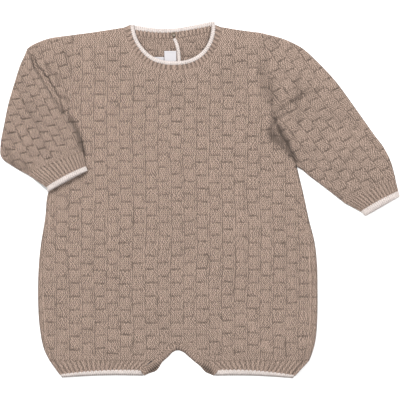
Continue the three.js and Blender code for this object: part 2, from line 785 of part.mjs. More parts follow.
function sleeveLeft() {
  const pleat = smooth(PLEAT, 10);
  const outside = smooth(SLEEVE_LEFT_OUTSIDE, 12);
  const capTop = smooth(CAP_TOP, 12);
  const seam = armholeLeft.filter((p) => p.y > 226);
  const hidden = smooth(SUPPORT.filter((row) => row.y > 222 && row.y < 346), 14).reverse();
  const turned = outlineOf([...pleat].reverse(), [point(-156, 347)], [...outside].reverse());
  const capOutline = outlineOf(hidden, [point(-158, 346)], capTop.slice(1), [...seam].reverse().slice(1));
  const turnedHollow = [
    ...beside([...pleat].reverse(), 4).filter((p) => p.y < 315),
    ...beside([...outside].reverse(), 4).filter((p) => p.y < 300).slice(0, -1),
    point(-150, 200),
    point(-95, 226),
  ];
  const lifted = Object.assign(sleeveBase, { highest: SLEEVE_LIFT.height });
  const lower = sleeveWall({
    outline: turned,
    hollow: { outline: turnedHollow, edges: [pleat, outside] },
    turn: SLEEVE_LEFT_TURN,
    loft: LOFT.sleeveLeft,
    folds: FOLDS.sleeveLeft,
    base: lifted,
    pattern: (x, y) => THREE.MathUtils.smoothstep(distanceToPath(straightLine(CUFF_LEFT.top, 4), x, y), 2, 6),
    coarse: { u: 1, v: 1 },
  });
  const cap = sleeveWall({
    outline: capOutline,
    hollow: {
      outline: [point(-146, 345), point(-100, 356), point(-100, 240), point(-117, 250), point(-134, 290)],
      edges: [capTop, hidden, armholeLeft],
    },
    turn: CAP_TURN,
    loft: LOFT.cap,
    folds: FOLDS.cap,
    base: onTable,
    pattern: () => 1,
    coarse: { u: 4, v: 4 },
  });
  return lower.add(cap);
}

// A cuff or its edging: a flattened tube between two lines across the sleeve
function cuffTube({ lines, ribs, base, loft, roll = 0 }) {
  const upper = Array.from({ length: 2 * ribs + 1 }, (_, i) => ({ share: i / (2 * ribs), upper: true, rib: i % 2 }));
  const lowerCount = 8;
  const lower = Array.from({ length: lowerCount - 1 }, (_, i) => ({ share: 1 - (i + 1) / lowerCount, upper: false, rib: 0 }));
  const around = [...upper, ...lower];
  const full = 2 * CLOTH + LAYER_GAP;
  const outerPoint = ({ share, upper: isUpper, rib }, ends, swell) => {
    const p = between(ends, share);
    const crown = Math.sqrt(Math.max(0, 1 - (2 * share - 1) ** 8));
    const height = isUpper
      ? full * (0.5 + 0.5 * crown) + loft * Math.sin(Math.PI * share) + crown * (rib * RIB.relief * (roll ? 0 : 1) + swell)
      : 0;
    return new THREE.Vector3(p.x, p.y, base(p.x, p.y) + height);
  };
  const innerPoint = ({ share, upper: isUpper }, ends) => {
    const p = between(ends, THREE.MathUtils.lerp(0.05, 0.95, share));
    const middle = Math.sin(Math.PI * share);
    const height = isUpper ? CLOTH + LAYER_GAP * 0.9 + loft * middle * 0.9 : CLOTH - LAYER_GAP * 0.1;
    return new THREE.Vector3(p.x, p.y, base(p.x, p.y) + height);
  };
  const swells = lines.map((_, i) => roll * Math.sin((Math.PI * i) / (lines.length - 1)));
  return tube(
    around.map((step) => [
      ...lines.map((ends, i) => outerPoint(step, ends, swells[i])),
      ...[...lines].reverse().map((ends) => innerPoint(step, ends)),
    ]),
  );
}

// The line across a sleeve at a share of the way from one line to another
const acrossAt = (a, b, share) => a.map((value, i) => THREE.MathUtils.lerp(value, b[i], share));

function cuff(shape, base, loft, ribs) {
  const gap = SEAM_GAP / 2 / 16;
  return cuffTube({
    lines: [gap, 0.5, 1 - gap].map((share) => acrossAt(shape.top, shape.foot, share)),
    ribs,
    base,
    loft,
  });
}

function cuffTip(shape, base, loft) {
  const gap = SEAM_GAP / 2 / TIP.width;
  return cuffTube({
    lines: [gap, 0.5, 1].map((share) => acrossAt(shape.foot, shape.end, share)),
    ribs: 7,
    base,
    loft,
    roll: TIP.roll,
  });
}

// Back neck opening

function placketTip() {
  const path = smooth(
    [
      { x: -3.6, y: 356.6 },
      { x: -1.2, y: 352 },
      { x: 0.6, y: 345 },
      { x: 1.6, y: 336 },
      { x: 2, y: 318 },
    ],
    5,
  );
  return rolledStrip(beside(path, -1.7), beside(path, 1.7), CLOTH + LAYER_GAP, 0.9);
}

function label({ left, right, top, foot, level }) {
  const outline = [point(left, foot), point(right, foot), point(right, top - 0.3), point(left + 0.3, top)];
  return prism(outline, level, level + 0.4);
}

function neckButton() {
  const radius = 2.3;
  const profile = [point(0, 0), point(radius, 0), point(radius, 0.5), point(radius * 0.8, 0.9), point(0, 0.8)];
  const geometry = new THREE.LatheGeometry(profile, 16).rotateX(Math.PI / 2);
  return solidOf(geometry.translate(-4.2, 360.8, CLOTH + RIB.relief + LAYER_GAP));
}

const romper = new THREE.Group();
const add = (name, solid, finish) => romper.add(meshOf(name, solid, finish));

add("back_panel", backPanel(), KNIT);
add("front_panel", frontPanel(), KNIT);
add("front_neck_rib", frontNeckRib(), KNIT);
add("front_neck_tip", frontNeckTip(), LIGHT_KNIT);
for (const [name, side] of [
  ["left", -1],
  ["right", 1],
]) {
  add(`back_neck_rib_${name}`, backNeckRib(side), KNIT);
  add(`back_neck_tip_${name}`, backNeckTip(side), LIGHT_KNIT);
}
for (const [name, hem] of Object.entries(HEMS)) {
  add(`front_leg_rib_${name}`, legRib(hem, true), KNIT);
  add(`back_leg_rib_${name}`, legRib(hem, false), KNIT);
  add(`front_leg_tip_${name}`, legTip(hem, true), LIGHT_KNIT);
  add(`back_leg_tip_${name}`, legTip(hem, false), LIGHT_KNIT);
}
add("front_inseam_band", inseamBand(true), KNIT);
add("back_inseam_band", inseamBand(false), KNIT);
add("sleeve_right", sleeveRight(), KNIT);
add("cuff_right", cuff(CUFF_RIGHT, onTable, 1.2, 16), KNIT);
add("cuff_tip_right", cuffTip(CUFF_RIGHT, onTable, 1), LIGHT_KNIT);
add("sleeve_left", sleeveLeft(), KNIT);
add("cuff_left", cuff(CUFF_LEFT, sleeveBase, 0.8, 17), KNIT);
add("cuff_tip_left", cuffTip(CUFF_LEFT, sleeveBase, 0.7), LIGHT_KNIT);
add("placket_tip", placketTip(), LIGHT_KNIT);
add("label_main", label({ left: -14, right: -1.2, top: 343.6, foot: 320, level: CLOTH + LAYER_GAP }), LABEL_CLOTH);
add("label_side", label({ left: -27, right: -14.4, top: 337.2, foot: 318, level: CLOTH + LAYER_GAP }), LABEL_CLOTH);
add("neck_button", neckButton(), BUTTON_HORN);

const box = new THREE.Box3().setFromObject(romper);
const middle = box.getCenter(new THREE.Vector3());
romper.position.set(-middle.x, -middle.y, -box.min.z);

export default romper;
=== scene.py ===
"""Knitted baby romper, laid flat with its front up: the cloth, its knit, ribs, edgings and trims."""

import json
import math

import bpy
import numpy as np
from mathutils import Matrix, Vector
from mathutils.geometry import delaunay_2d_cdt

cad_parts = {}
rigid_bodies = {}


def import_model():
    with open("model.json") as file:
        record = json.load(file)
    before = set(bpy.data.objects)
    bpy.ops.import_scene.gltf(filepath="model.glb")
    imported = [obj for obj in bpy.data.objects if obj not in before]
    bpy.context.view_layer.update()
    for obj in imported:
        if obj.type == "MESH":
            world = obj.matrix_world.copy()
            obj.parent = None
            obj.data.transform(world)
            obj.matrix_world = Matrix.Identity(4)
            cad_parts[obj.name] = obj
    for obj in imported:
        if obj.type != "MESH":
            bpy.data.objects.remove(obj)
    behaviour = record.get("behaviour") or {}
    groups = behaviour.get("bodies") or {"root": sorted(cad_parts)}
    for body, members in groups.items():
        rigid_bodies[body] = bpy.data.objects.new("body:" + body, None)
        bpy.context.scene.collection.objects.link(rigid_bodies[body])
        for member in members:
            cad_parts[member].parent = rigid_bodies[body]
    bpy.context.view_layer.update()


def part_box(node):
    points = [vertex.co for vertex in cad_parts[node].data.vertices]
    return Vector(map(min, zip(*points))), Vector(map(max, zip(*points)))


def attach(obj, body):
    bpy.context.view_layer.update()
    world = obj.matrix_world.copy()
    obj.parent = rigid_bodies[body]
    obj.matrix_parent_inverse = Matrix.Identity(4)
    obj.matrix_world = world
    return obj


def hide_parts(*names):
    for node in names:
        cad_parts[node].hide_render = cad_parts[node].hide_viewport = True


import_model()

bl_info = {
    "name": "Knitted romper",
    "version": (1, 0, 0),
    "blender": (4, 5, 0),
    "location": "View3D > Sidebar > Romper",
    "description": "Makes a knitted baby romper that lies flat",
    "category": "Object",
}

# Tables, in millimetres, measured from the body's centre line and up from the leg hems

SIDE_COLUMNS = ("y", "left", "right", "wrap_left", "wrap_right")
BODY_SIDES = [
    (18, 134.5, 138.5, 3, 4),
    (29, 140, 142.5, 5, 7),
    (42, 143.3, 145.4, 6, 8),
    (64, 146, 147, 6, 8),
    (92, 146.8, 147.2, 6, 8),
    (120, 145.8, 146.6, 6, 8),
    (143, 143.3, 144, 6, 7),
    (168, 139.2, 137.8, 5, 5),
    (193, 136.5, 132.4, 4, 4),
    (222, 126, 125.5, 3, 3),
]
ARMHOLE_COLUMNS = ("y", "left", "right")
ARMHOLES = [
    (222, 126, 125.5),
    (240, 123, 118),
    (256, 119.5, 108.5),
    (276, 115, 101.5),
    (298, 112, 97),
    (324, 110, 95),
    (349, 108.8, 91),
    (361.5, 108.5, 88.5),
]
SHOULDER_LEFT = [(-108.5, 360.5), (-85.5, 363.5), (-53, 368.5)]
SHOULDER_RIGHT = [(46.5, 368.5), (65.5, 365.3), (88.5, 362.5)]
NECK = {
    "x": -3.5,
    "y": 372.6,
    "half_width": 43.4,
    "depth": 44.0,
    "power": 2.3,
    "rib": 6.0,
    "level": 3.4,
    "lean": (2.6, 344, 24),
    "corner": (0.02, 0.0065),
}
TROUGH_FLOOR = 1.3
NECK_RIBS = 31
NECK_PITCH = 4.6
BACK_NECK_PITCH = 4.0
BACK_NECK = [
    (-48.4, 371.5), (-30, 368.4), (-15, 367.2), (-1.5, 367.8), (16, 370.6), (30, 373.6), (38.8, 375.2),
]
NEAR_NECK = [(-30, 345), (26, 345)]
SLIT_X = 4.2
HEMS = {
    "left": {
        "rib_top": (-134.5, 18, -27, 18),
        "rib_foot": (-123.2, 3.4, -39.3, 8),
        "rib_rise": 2.0,
        "foot": (-121.5, 1.2, -36.6, 3.2),
        "foot_rise": 1.2,
    },
    "right": {
        "rib_top": (30.5, 18, 138.5, 18),
        "rib_foot": (43.4, 8.4, 123.3, 2.4),
        "rib_rise": 2.1,
        "foot": (40, 3.2, 121.5, 0.6),
        "foot_rise": 1.2,
    },
}
INSEAM = [
    (-35.5, 3), (-23.5, 10.8), (-17.3, 17), (-10, 23.4), (-5.8, 27.8), (0.5, 30),
    (6.8, 27.8), (12, 23.4), (19.5, 17), (28.5, 10.8), (39, 3),
]
INSEAM_BAND = 6.8
INSEAM_PITCH = 0.55
PEEP = {"drop": 2.2, "width": 5, "places": (-24.5, 31)}
EDGE_STEPS = 160
BACK_PROUD = 1.1
SLEEVE_RIGHT_TOP = [
    (88.5, 362.5), (109.5, 357), (124.5, 350.5), (134, 344.5), (147.5, 332), (160, 319),
    (170.5, 306.5), (188.5, 281.5), (206.5, 256), (216, 243.5), (224, 228), (228.8, 210.5),
]
SLEEVE_RIGHT_FOOT = [(176.2, 183.2), (156, 199), (139, 211.8), (132, 217.8), (125.5, 222)]
CUFF_RIGHT = {
    "top": (176.2, 183.2, 228.8, 210.5),
    "foot": (192.8, 174.2, 232.4, 195.8),
    "end": (197.4, 169.8, 233.6, 190.6),
}
PLEAT = [
    (-153.5, 344), (-153, 332), (-148, 321.5), (-141, 311), (-129.5, 294),
    (-119, 278), (-111, 266.5), (-104, 257.5), (-100.5, 249), (-99, 238.5),
]
SLEEVE_LEFT_OUTSIDE = [
    (-159.5, 214.6), (-167.5, 218.8), (-176, 224.2), (-183, 229), (-186.2, 234.5), (-186.4, 241),
    (-185.5, 250), (-183, 263), (-178, 287.5), (-170.5, 313), (-166, 326), (-161, 338), (-158, 346),
]
CAP_TOP = [(-158, 346), (-151.5, 350.5), (-137, 356.3), (-123.5, 358.8), (-108.5, 360.5)]
CUFF_LEFT = {
    "top": (-159.5, 214.6, -99, 238.5),
    "foot": (-137.2, 199.7, -95.5, 221.5),
    "end": (-136.2, 195.2, -94, 217.8),
}
CUFF_DEPTH = 16
SUPPORT = [
    (-158, 346), (-156, 334), (-150, 313), (-140, 285), (-131, 260),
    (-127, 240), (-126, 222), (-131.5, 208), (-136.5, 193),
]
SLEEVE_LIFT = {"height": 5.7, "from": 22.0, "to": 8.0, "meets": 345.0, "clear": 328.0}
PLACKET = [(-3.6, 356.6), (-1.2, 352), (0.6, 345), (1.6, 336), (2, 318)]
LABELS = {"label_main": (-14, -1.2, 343.6, 320), "label_side": (-27, -14.4, 337.2, 318)}
BUTTON_CENTRE = (-4.2, 360.8)
BUTTON_PROFILE = [
    (0.0, 0.0), (1.9, 0.0), (2.25, 0.2), (2.3, 0.5), (2.15, 0.8), (1.85, 0.9), (1.6, 0.78), (1.4, 0.6),
    (0.0, 0.55),
]
CAMERA_CENTRE = (23.625, 186.9)

CLOTH = 1.8
LAYER_GAP = 0.3
BLOCK = (13.4, 14.1)
FINE_STEP = (BLOCK[0] / 12, BLOCK[1] / 13)
COARSE_STEP = (BLOCK[0] / 6, BLOCK[1] / 6)
STITCH = (2.233, 2.014)
SEAM_GAP = 0.06
FRONT_HILLS = ((53, -110, 38, 4.5), (-72, -110, 36, 4.0))
FRONT_LEVEL = CLOTH + LAYER_GAP
TIP_WIDTH = 4.2
TIP_ROLL = 0.7
LAYERS = (("front", FRONT_LEVEL, 0.0, TIP_ROLL), ("back", 0.0, BACK_PROUD, 0.0))
CUFF_LOFT = {"right": 1.2, "left": 0.8}
LOFT = {
    "front": (2.2, 45.0),
    "sleeve_right": (2.6, 30.0),
    "sleeve_left": (1.4, 30.0),
    "cap": (0.7, 20.0),
    "neck": (1.3, 26.0),
}

# Folds: from, to, width and height, each a soft ridge or trough
FOLDS = {
    "front": [
        ((84, 296), (104, 246), 9, 1.3),
        ((-96, 262), (-92, 206), 8, 0.7),
        ((-120, 34), (-62, 27), 6, 0.8),
        ((-66, 42), (-34, 33), 5, 0.7),
        ((48, 34), (108, 26), 6, 0.8),
        ((92, 44), (132, 36), 5, 0.6),
        ((0.5, 42), (0.5, 66), 7, 0.6),
        ((-74, 340), (-52, 300), 9, 0.5),
        ((60, 345), (44, 310), 9, 0.5),
        ((-40, 318), (-66, 262), 12, -0.5),
        ((20, 250), (40, 150), 16, 0.4),
        ((-60, 210), (-30, 120), 15, 0.4),
        ((104, 232), (122, 196), 7, -0.5),
    ],
    "sleeve_right": [
        ((114, 268), (124, 248), 9, 1.3),
        ((109, 284), (132, 297), 2.6, -1.3),
        ((132, 297), (148, 303), 2.2, -0.8),
        ((126, 316), (127.5, 270), 4, -0.6),
        ((108, 273.5), (114.5, 277.5), 2, -1.2),
        ((98, 311), (101, 287), 3.5, -1.2),
        ((101, 287), (105, 262), 5, -2.0),
        ((105, 262), (114, 246), 4.5, -2.4),
        ((114, 246), (124, 227), 2.6, -2.2),
        ((98, 253.5), (107, 256), 1.8, -1.0),
        ((150, 262), (196, 214), 10, 0.8),
        ((120, 318), (150, 296), 8, 0.5),
        ((168, 216), (186, 236), 4, -0.4),
    ],
    "sleeve_left": [
        ((-176, 300), (-150, 246), 9, 0.7),
        ((-178, 228), (-150, 214), 3, -0.8),
        ((-168, 232), (-132, 222), 5, 0.5),
        ((-177, 258), (-172, 250), 2.5, -0.5),
        ((-181, 240), (-172, 232), 3, -0.6),
    ],
    "cap": [
        ((-152.8, 338), (-148.6, 327.6), 1.5, -2.4),
        ((-148.6, 327.6), (-143.3, 320.3), 1.9, -2.6),
        ((-143.3, 320.3), (-138.1, 312.9), 2.1, -3.0),
        ((-138.1, 312.9), (-132.5, 302.5), 3.0, -3.4),
        ((-132.5, 302.5), (-126.5, 292), 2.6, -3.4),
        ((-126.5, 292), (-122.5, 284.5), 1.6, -2.4),
        ((-143, 330), (-137, 318), 2.2, 0.9),
        ((-137, 318), (-126, 302), 2.4, 1.0),
        ((-138.2, 330), (-133, 319), 2.0, -1.0),
        ((-128, 318), (-125.6, 308), 2.0, -1.1),
        ((-124, 296), (-112, 290), 1.9, -1.1),
        ((-133, 330), (-118, 336), 5, 0.7),
    ],
}

# Places where the cloth is in shadow: from point, to point, width and strength
SHADED = {
    "outside": [
        ((-28.2, 7.4), (-22, 11.6), 3.4, 1.0),
        ((28, 11.6), (34.4, 7.0), 3.4, 1.0),
        ((0.3, 31.2), (0.7, 30.8), 2.6, 0.6),
        ((-112, 273), (-105, 258), 3.0, 0.75),
        ((-105, 258), (-98.5, 236), 3.0, 0.9),
        ((98, 257), (106, 248), 5.0, 1.0),
        ((101, 276), (98.5, 260), 3.4, 0.6),
        ((108, 248), (122, 233), 3.6, 0.95),
        ((105, 300), (103, 276), 3.2, 0.35),
        ((103, 273), (101, 266), 3.0, 0.9),
        ((98, 256), (104, 252), 2.6, 1.0),
        ((88, 327), (93, 298), 4.5, 0.38),
        ((104, 272), (112, 278), 2.0, 0.5),
        ((97, 256), (104, 259), 1.8, 0.5),
        ((-149.5, 330), (-141, 317), 1.8, 0.6),
        ((-141, 150), (-147, 95), 2.2, 0.3),
        ((-147, 95), (-144, 48), 2.4, 0.4),
        ((-144, 48), (-124, 6), 2.4, 0.4),
        ((141, 150), (146, 95), 2.2, 0.3),
        ((146, 95), (143, 40), 2.4, 0.4),
        ((143, 40), (123, 6), 2.4, 0.4),
        ((-141, 317), (-128, 295), 3.4, 1.0),
        ((-128, 295), (-120, 280), 2.6, 0.75),
    ],
    "inside": [
        ((-48, 366), (-40, 348), 3.6, 0.55),
        ((-40, 348), (-24, 335), 2.6, 0.35),
        ((37.5, 370), (35, 352), 3.6, 0.6),
        ((35, 352), (22, 338), 2.6, 0.35),
        ((-39, 355.4), (-4, 354.6), 0.9, 0.4),
        ((6, 354.8), (30, 356), 0.9, 0.4),
        ((4.2, 351), (5.2, 320), 1.3, 0.6),
        ((-16, 350), (-15, 338), 0.9, 0.3),
        ((14, 350), (15, 338), 0.9, 0.3),
        ((-30, 345), (25, 345), 24, 0.13),
    ],
}

# Place of the tables in the frame, read from the label, whose lower left corner is at (-14, 320)
LABEL_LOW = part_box("label_main")[0]
SHIFT = np.array([LABEL_LOW[0] * 1000 + 14, LABEL_LOW[1] * 1000 - 320])


# Curves and distances


def as_points(rows):
    return np.array(rows, float)


def column(table, names, key):
    return np.array([row[names.index(key)] for row in table], float)


def run_of(path):
    """How far along the path each of its points is."""
    return np.concatenate([[0], np.cumsum(np.linalg.norm(np.diff(path, axis=0), axis=1))])


def spaced(path, step):
    """Points at even steps along a path."""
    run = run_of(path)
    count = max(2, round(run[-1] / step))
    at = np.linspace(0, run[-1], count + 1)
    return np.stack([np.interp(at, run, path[:, k]) for k in (0, 1)], axis=1)


def curve(rows, per=24):
    """A smooth line through the rows, with that many points from row to row."""
    p = as_points(rows)
    out = []
    for i in range(len(p) - 1):
        p0, p1, p2, p3 = p[max(i - 1, 0)], p[i], p[i + 1], p[min(i + 2, len(p) - 1)]
        t = np.linspace(0, 1, per, endpoint=False)[:, None]
        v0, v1 = (p2 - p0) / 2, (p3 - p1) / 2
        out.append(
            (2 * p1 - 2 * p2 + v0 + v1) * t**3 + (-3 * p1 + 3 * p2 - 2 * v0 - v1) * t**2 + v0 * t + p1
        )
    return np.vstack(out + [p[-1:]])


def smooth(rows, step=1.5):
    return spaced(curve(rows), step)


def beside(path, distance):
    """The path moved to its left."""
    along = np.gradient(path, axis=0)
    along /= np.linalg.norm(along, axis=1)[:, None]
    return path + distance * np.stack([-along[:, 1], along[:, 0]], axis=1)


def area_of(outline):
    x, y = outline[:, 0], outline[:, 1]
    return 0.5 * float(np.sum(x * np.roll(y, -1) - np.roll(x, -1) * y))


def inset(outline, distance):
    """A closed outline drawn in."""
    turn = 1 if area_of(outline) > 0 else -1
    a = outline - np.roll(outline, 1, axis=0)
    b = np.roll(outline, -1, axis=0) - outline
    a /= np.linalg.norm(a, axis=1)[:, None]
    b /= np.linalg.norm(b, axis=1)[:, None]
    along = a + b
    along /= np.linalg.norm(along, axis=1)[:, None]
    stretch = np.maximum(0.5, np.abs(np.sum(along * b, axis=1)))[:, None]
    return outline + turn * distance * np.stack([-along[:, 1], along[:, 0]], axis=1) / stretch


def outline_of(*runs):
    """One outline from runs of points, without points that fall together."""
    points = np.vstack([np.atleast_2d(run) for run in runs])
    kept = [points[0]]
    for p in points[1:]:
        if np.hypot(*(p - kept[-1])) > 0.5:
            kept.append(p)
    while np.hypot(*(kept[-1] - kept[0])) < 0.5:
        kept.pop()
    return np.array(kept)


def distance_to(path, points, closed=False, step=4.0):
    """How far each point is from a path."""
    line = np.vstack([path, path[:1]]) if closed else path
    line = spaced(line, step) if step else line
    a, b = line[:-1], line[1:]
    edge = b - a
    size = np.maximum(np.sum(edge**2, axis=1), 1e-9)
    nearest = np.full(len(points), np.inf)
    for start in range(0, len(points), 4000):
        part = points[start : start + 4000]
        off = part[:, None, :] - a[None]
        share = np.clip(np.sum(off * edge[None], axis=2) / size, 0, 1)
        away = np.linalg.norm(off - share[:, :, None] * edge[None], axis=2)
        nearest[start : start + 4000] = away.min(axis=1)
    return nearest


def inside(outline, points):
    x, y = points[:, 0], points[:, 1]
    odd = np.zeros(len(points), bool)
    for a, b in zip(outline, np.roll(outline, -1, axis=0)):
        if a[1] == b[1]:
            continue
        crosses = (a[1] > y) != (b[1] > y)
        odd ^= crosses & (x < (b[0] - a[0]) * (y - a[1]) / (b[1] - a[1]) + a[0])
    return odd


def step_between(value, low, high):
    """0 below low, 1 above high and smooth between."""
    t = np.clip((value - low) / (high - low), 0, 1)
    return t * t * (3 - 2 * t)


def between(ends, share):
    """Points across a line (x, y, x, y) at shares of its length."""
    share = np.atleast_1d(share)[:, None]
    return (1 - share) * np.array(ends[:2], float) + share * np.array(ends[2:], float)


def everywhere(value):
    """A level or a share that is the same at all points."""
    return lambda points: np.full(len(points), float(value))


def x_at(path, points):
    """Where a path that rises is, at the height of each point."""
    return np.interp(points[:, 1], path[:, 1], path[:, 0])


def bells(rows, points):
    """A soft bell over each row, which is a line from point to point, a width and a height."""
    for start, end, width, height in rows:
        away = distance_to(as_points([start, end]), points, step=0) / width
        yield height * np.exp(-(away**2))


def rise(loft, distance):
    """A quarter ellipse that rises from an edge."""
    share = np.clip(distance / loft[1], 0, 1)
    return loft[0] * np.sqrt(1 - (1 - share) ** 2)


def fold_height(folds, points):
    return sum(bells(folds, points), np.zeros(len(points)))


def shaded(points, places):
    """How much each point is in one of the shaded places, from 0 to 1."""
    return np.max([np.zeros(len(points)), *bells(places, points)], axis=0)


def hand_laid(points, seed, size=1.0):
    """Low, uneven swells of cloth that was smoothed by hand, from -1 to 1."""
    x, y = points[:, 0], points[:, 1]
    swell = (
        np.sin(x / 31 + 1.7 * seed) * np.sin(y / 43 + seed)
        + 0.6 * np.sin((x + y) / 19 + 2.3 * seed)
        + 0.5 * np.sin((x - 1.6 * y) / 27 + 0.7 * seed)
    )
    return size * swell / 2.1


class Knit:
    """The lie of the stitches: how far across the columns (u) and along them (v) a point is."""

    def __init__(self, origin, rows, columns, wander=1.0, seed=0.0, scale=(1, 1), hills=()):
        """Rows and columns are the turns of both directions of the knit, in degrees."""
        rows, columns = math.radians(rows), math.radians(columns)
        self.origin = np.array(origin, float)
        self.axes = np.array(
            [
                [scale[0] * math.cos(rows), scale[0] * math.sin(rows)],
                [-scale[1] * math.sin(columns), scale[1] * math.cos(columns)],
            ]
        )
        self.wander, self.seed, self.hills = wander, seed, hills

    def drift(self, uv):
        u, v = uv[:, 0], uv[:, 1]
        across = 0.7 * np.sin(v / 23 + u / 61 + self.seed) + 0.45 * np.sin(v / 9.5 + u / 17 + 2 * self.seed)
        along = 0.9 * np.sin(u / 34 + v / 71 + 1 + self.seed) + 0.5 * np.sin(u / 11 + v / 27 + self.seed)
        for at_u, at_v, width, height in self.hills:
            along = along + height * np.exp(-(((u - at_u) / width) ** 2) - ((v - at_v) / 45) ** 2)
        return self.wander * np.stack([across, along], axis=1)

    def place(self, uv):
        return self.origin + (uv + self.drift(uv)) @ self.axes

    def find(self, points):
        flat = (points - self.origin) @ np.linalg.inv(self.axes)
        uv = flat
        for _ in range(5):
            uv = flat - self.drift(uv)
        return uv

    def lattice(self, outline, step_u, step_v):
        uv = self.find(outline)
        low, high = uv.min(axis=0) - 3, uv.max(axis=0) + 3
        u = np.arange(math.floor(low[0] / step_u), math.ceil(high[0] / step_u) + 1) * step_u
        v = np.arange(math.floor(low[1] / step_v), math.ceil(high[1] / step_v) + 1) * step_v
        return self.place(np.stack(np.meshgrid(u, v), axis=2).reshape(-1, 2))


# Meshes


def new_object(name, data):
    made = bpy.data.objects.new(name, data)
    bpy.context.scene.collection.objects.link(made)
    return made


def new_mesh(name, points, edges, faces):
    """A mesh from points in table millimetres."""
    mesh = bpy.data.meshes.new(name)
    placed = np.array(points, float)
    placed[:, :2] += SHIFT
    mesh.from_pydata((placed / 1000).tolist(), edges, faces)
    return mesh


def new_piece(name, points, faces, knit=None, out=None, crease=None):
    """A piece of the romper, with the place in the knit, the outward side and the painted shade of each of
    its points.
    """
    mesh = new_mesh(name, points, [], [list(map(int, f)) for f in faces])
    if knit is not None:
        # The crease attribute is painted shade: it darkens the colour where shade falls.
        crease = np.zeros(len(points)) if crease is None else crease
        for label, kind, field, values in (
            ("knit", "FLOAT_VECTOR", "vector", knit),
            ("out", "FLOAT_VECTOR", "vector", out),
            ("crease", "FLOAT", "value", crease),
        ):
            layer = mesh.attributes.new(label, kind, "POINT")
            layer.data.foreach_set(field, np.asarray(values, np.float32).ravel())
    mesh.polygons.foreach_set("use_smooth", [True] * len(mesh.polygons))
    mesh.update()
    return new_object(name, mesh)


def filled(outline, points, up):
    """Triangles over an outline and the points inside it, counted with the outline's corners first."""
    corners = np.vstack([outline, points])
    made = delaunay_2d_cdt([Vector(p) for p in corners], [], [list(range(len(outline)))], 1, 1e-5, True)
    origin = np.array([ids[0] for ids in made[3]])
    faces = origin[np.array(made[2])]
    faces = faces[inside(outline, corners[faces].mean(axis=1))]
    a, b, c = (corners[faces[0][k]] for k in range(3))
    return faces if (np.cross(b - a, c - a) > 0) == up else faces[:, ::-1]


def inner_points(outline, lattice, rings, margin):
    """Rings of points beside the outline, then the lattice points further in."""
    rows = []
    for d in rings:
        ring = inset(outline, d)
        true = distance_to(outline, ring, closed=True, step=0)
        rows.append(ring[(true > 0.93 * d) & inside(outline, ring)])
    kept = lattice[inside(outline, lattice)]
    kept = kept[distance_to(outline, kept, closed=True, step=2.0) > rings[-1] + margin]
    return np.vstack(rows + [kept])


def cloth_between(
    outline, over, under, top, bottom, rim, round_top, round_bottom, knit, mask, folds=(), places=(),
    flip=False,
):
    """A closed layer of cloth: an upper and a lower surface that meet at the outline and roll over at it."""
    count, lowest = len(outline), len(outline) + len(over)

    def surface(points, height, round_over):
        away = distance_to(outline, points, closed=True, step=1.5)
        t = np.clip(away / round_over, 0, 1)
        level = rim(points)
        return np.column_stack([points, level + (height(points) - level) * np.sqrt(1 - (1 - t) ** 2)])

    edge = np.column_stack([outline, rim(outline)])
    points = np.vstack([edge, surface(over, top, round_top), surface(under, bottom, round_bottom)])
    upper, lower = filled(outline, over, True), filled(outline, under, False)
    faces = np.vstack([upper, np.where(lower >= count, lower + len(over), lower)])
    if flip:
        faces = faces[:, ::-1]
    flat = points[:, :2]
    out = np.zeros((len(points), 3))
    out[:count, 2] = 0.5
    out[count:lowest, 2] = 1
    out[lowest:, 2] = -1
    # Painted shade: the colour darkens in the troughs of narrow folds on the upper surface, and in the shaded
    # places.
    crease = np.clip(-fold_height([f for f in folds if f[3] < 0 and f[2] < 5], flat) / 2.2, 0, 1)
    crease[lowest:] = 0
    lie = np.column_stack([knit.find(flat), mask(flat)])
    return points, faces, lie, out, np.maximum(crease, shaded(flat, places))


def joined(*layers):
    """Several closed layers as one set of points and faces."""
    starts = np.cumsum([0] + [len(layer[0]) for layer in layers])
    faces = [np.asarray(layer[1]) + start for layer, start in zip(layers, starts)]
    points, knit, out = (np.vstack([layer[k] for layer in layers]) for k in (0, 2, 3))
    return points, np.vstack(faces), knit, out, np.concatenate([layer[4] for layer in layers])


def swept(sections, round_again=False):
    """Quads along sections, each a closed ring of points."""
    steps, count, _ = sections.shape
    grid = np.arange(steps * count).reshape(steps, count)
    here = grid if round_again else grid[:-1]
    following = np.roll(grid, -1, axis=0) if round_again else grid[1:]
    there, nxt = np.roll(here, -1, axis=1), np.roll(following, -1, axis=1)
    faces = [tuple(q) for q in np.stack([here, there, nxt, following], axis=2).reshape(-1, 4)]
    if not round_again:
        faces += [tuple(grid[0][::-1]), tuple(grid[-1])]
    return sections.reshape(-1, 3), faces


def outward(piece):
    """Turns the faces of a closed mesh outwards."""
    mesh = piece.data
    mesh.calc_loop_triangles()
    co = np.zeros(len(mesh.vertices) * 3)
    mesh.vertices.foreach_get("co", co)
    co = co.reshape(-1, 3)
    tri = np.array([t.vertices[:] for t in mesh.loop_triangles])
    a, b, c = co[tri[:, 0]], co[tri[:, 1]], co[tri[:, 2]]
    if np.sum(a * np.cross(b, c)) < 0:
        mesh.flip_normals()
    return piece


# Node trees


class Value:
    """What a node gives out, reckoned with like a number."""

    def __init__(self, wires, socket):
        self.wires, self.socket = wires, socket

    def __add__(self, other):
        return self.wires.math("ADD", self, other)

    def __sub__(self, other):
        return self.wires.math("SUBTRACT", self, other)

    def __rsub__(self, other):
        return self.wires.math("SUBTRACT", other, self)

    def __mul__(self, other):
        return self.wires.math("MULTIPLY", self, other)

    def __truediv__(self, other):
        return self.wires.math("DIVIDE", self, other)

    def __pow__(self, other):
        return self.wires.math("POWER", self, other)


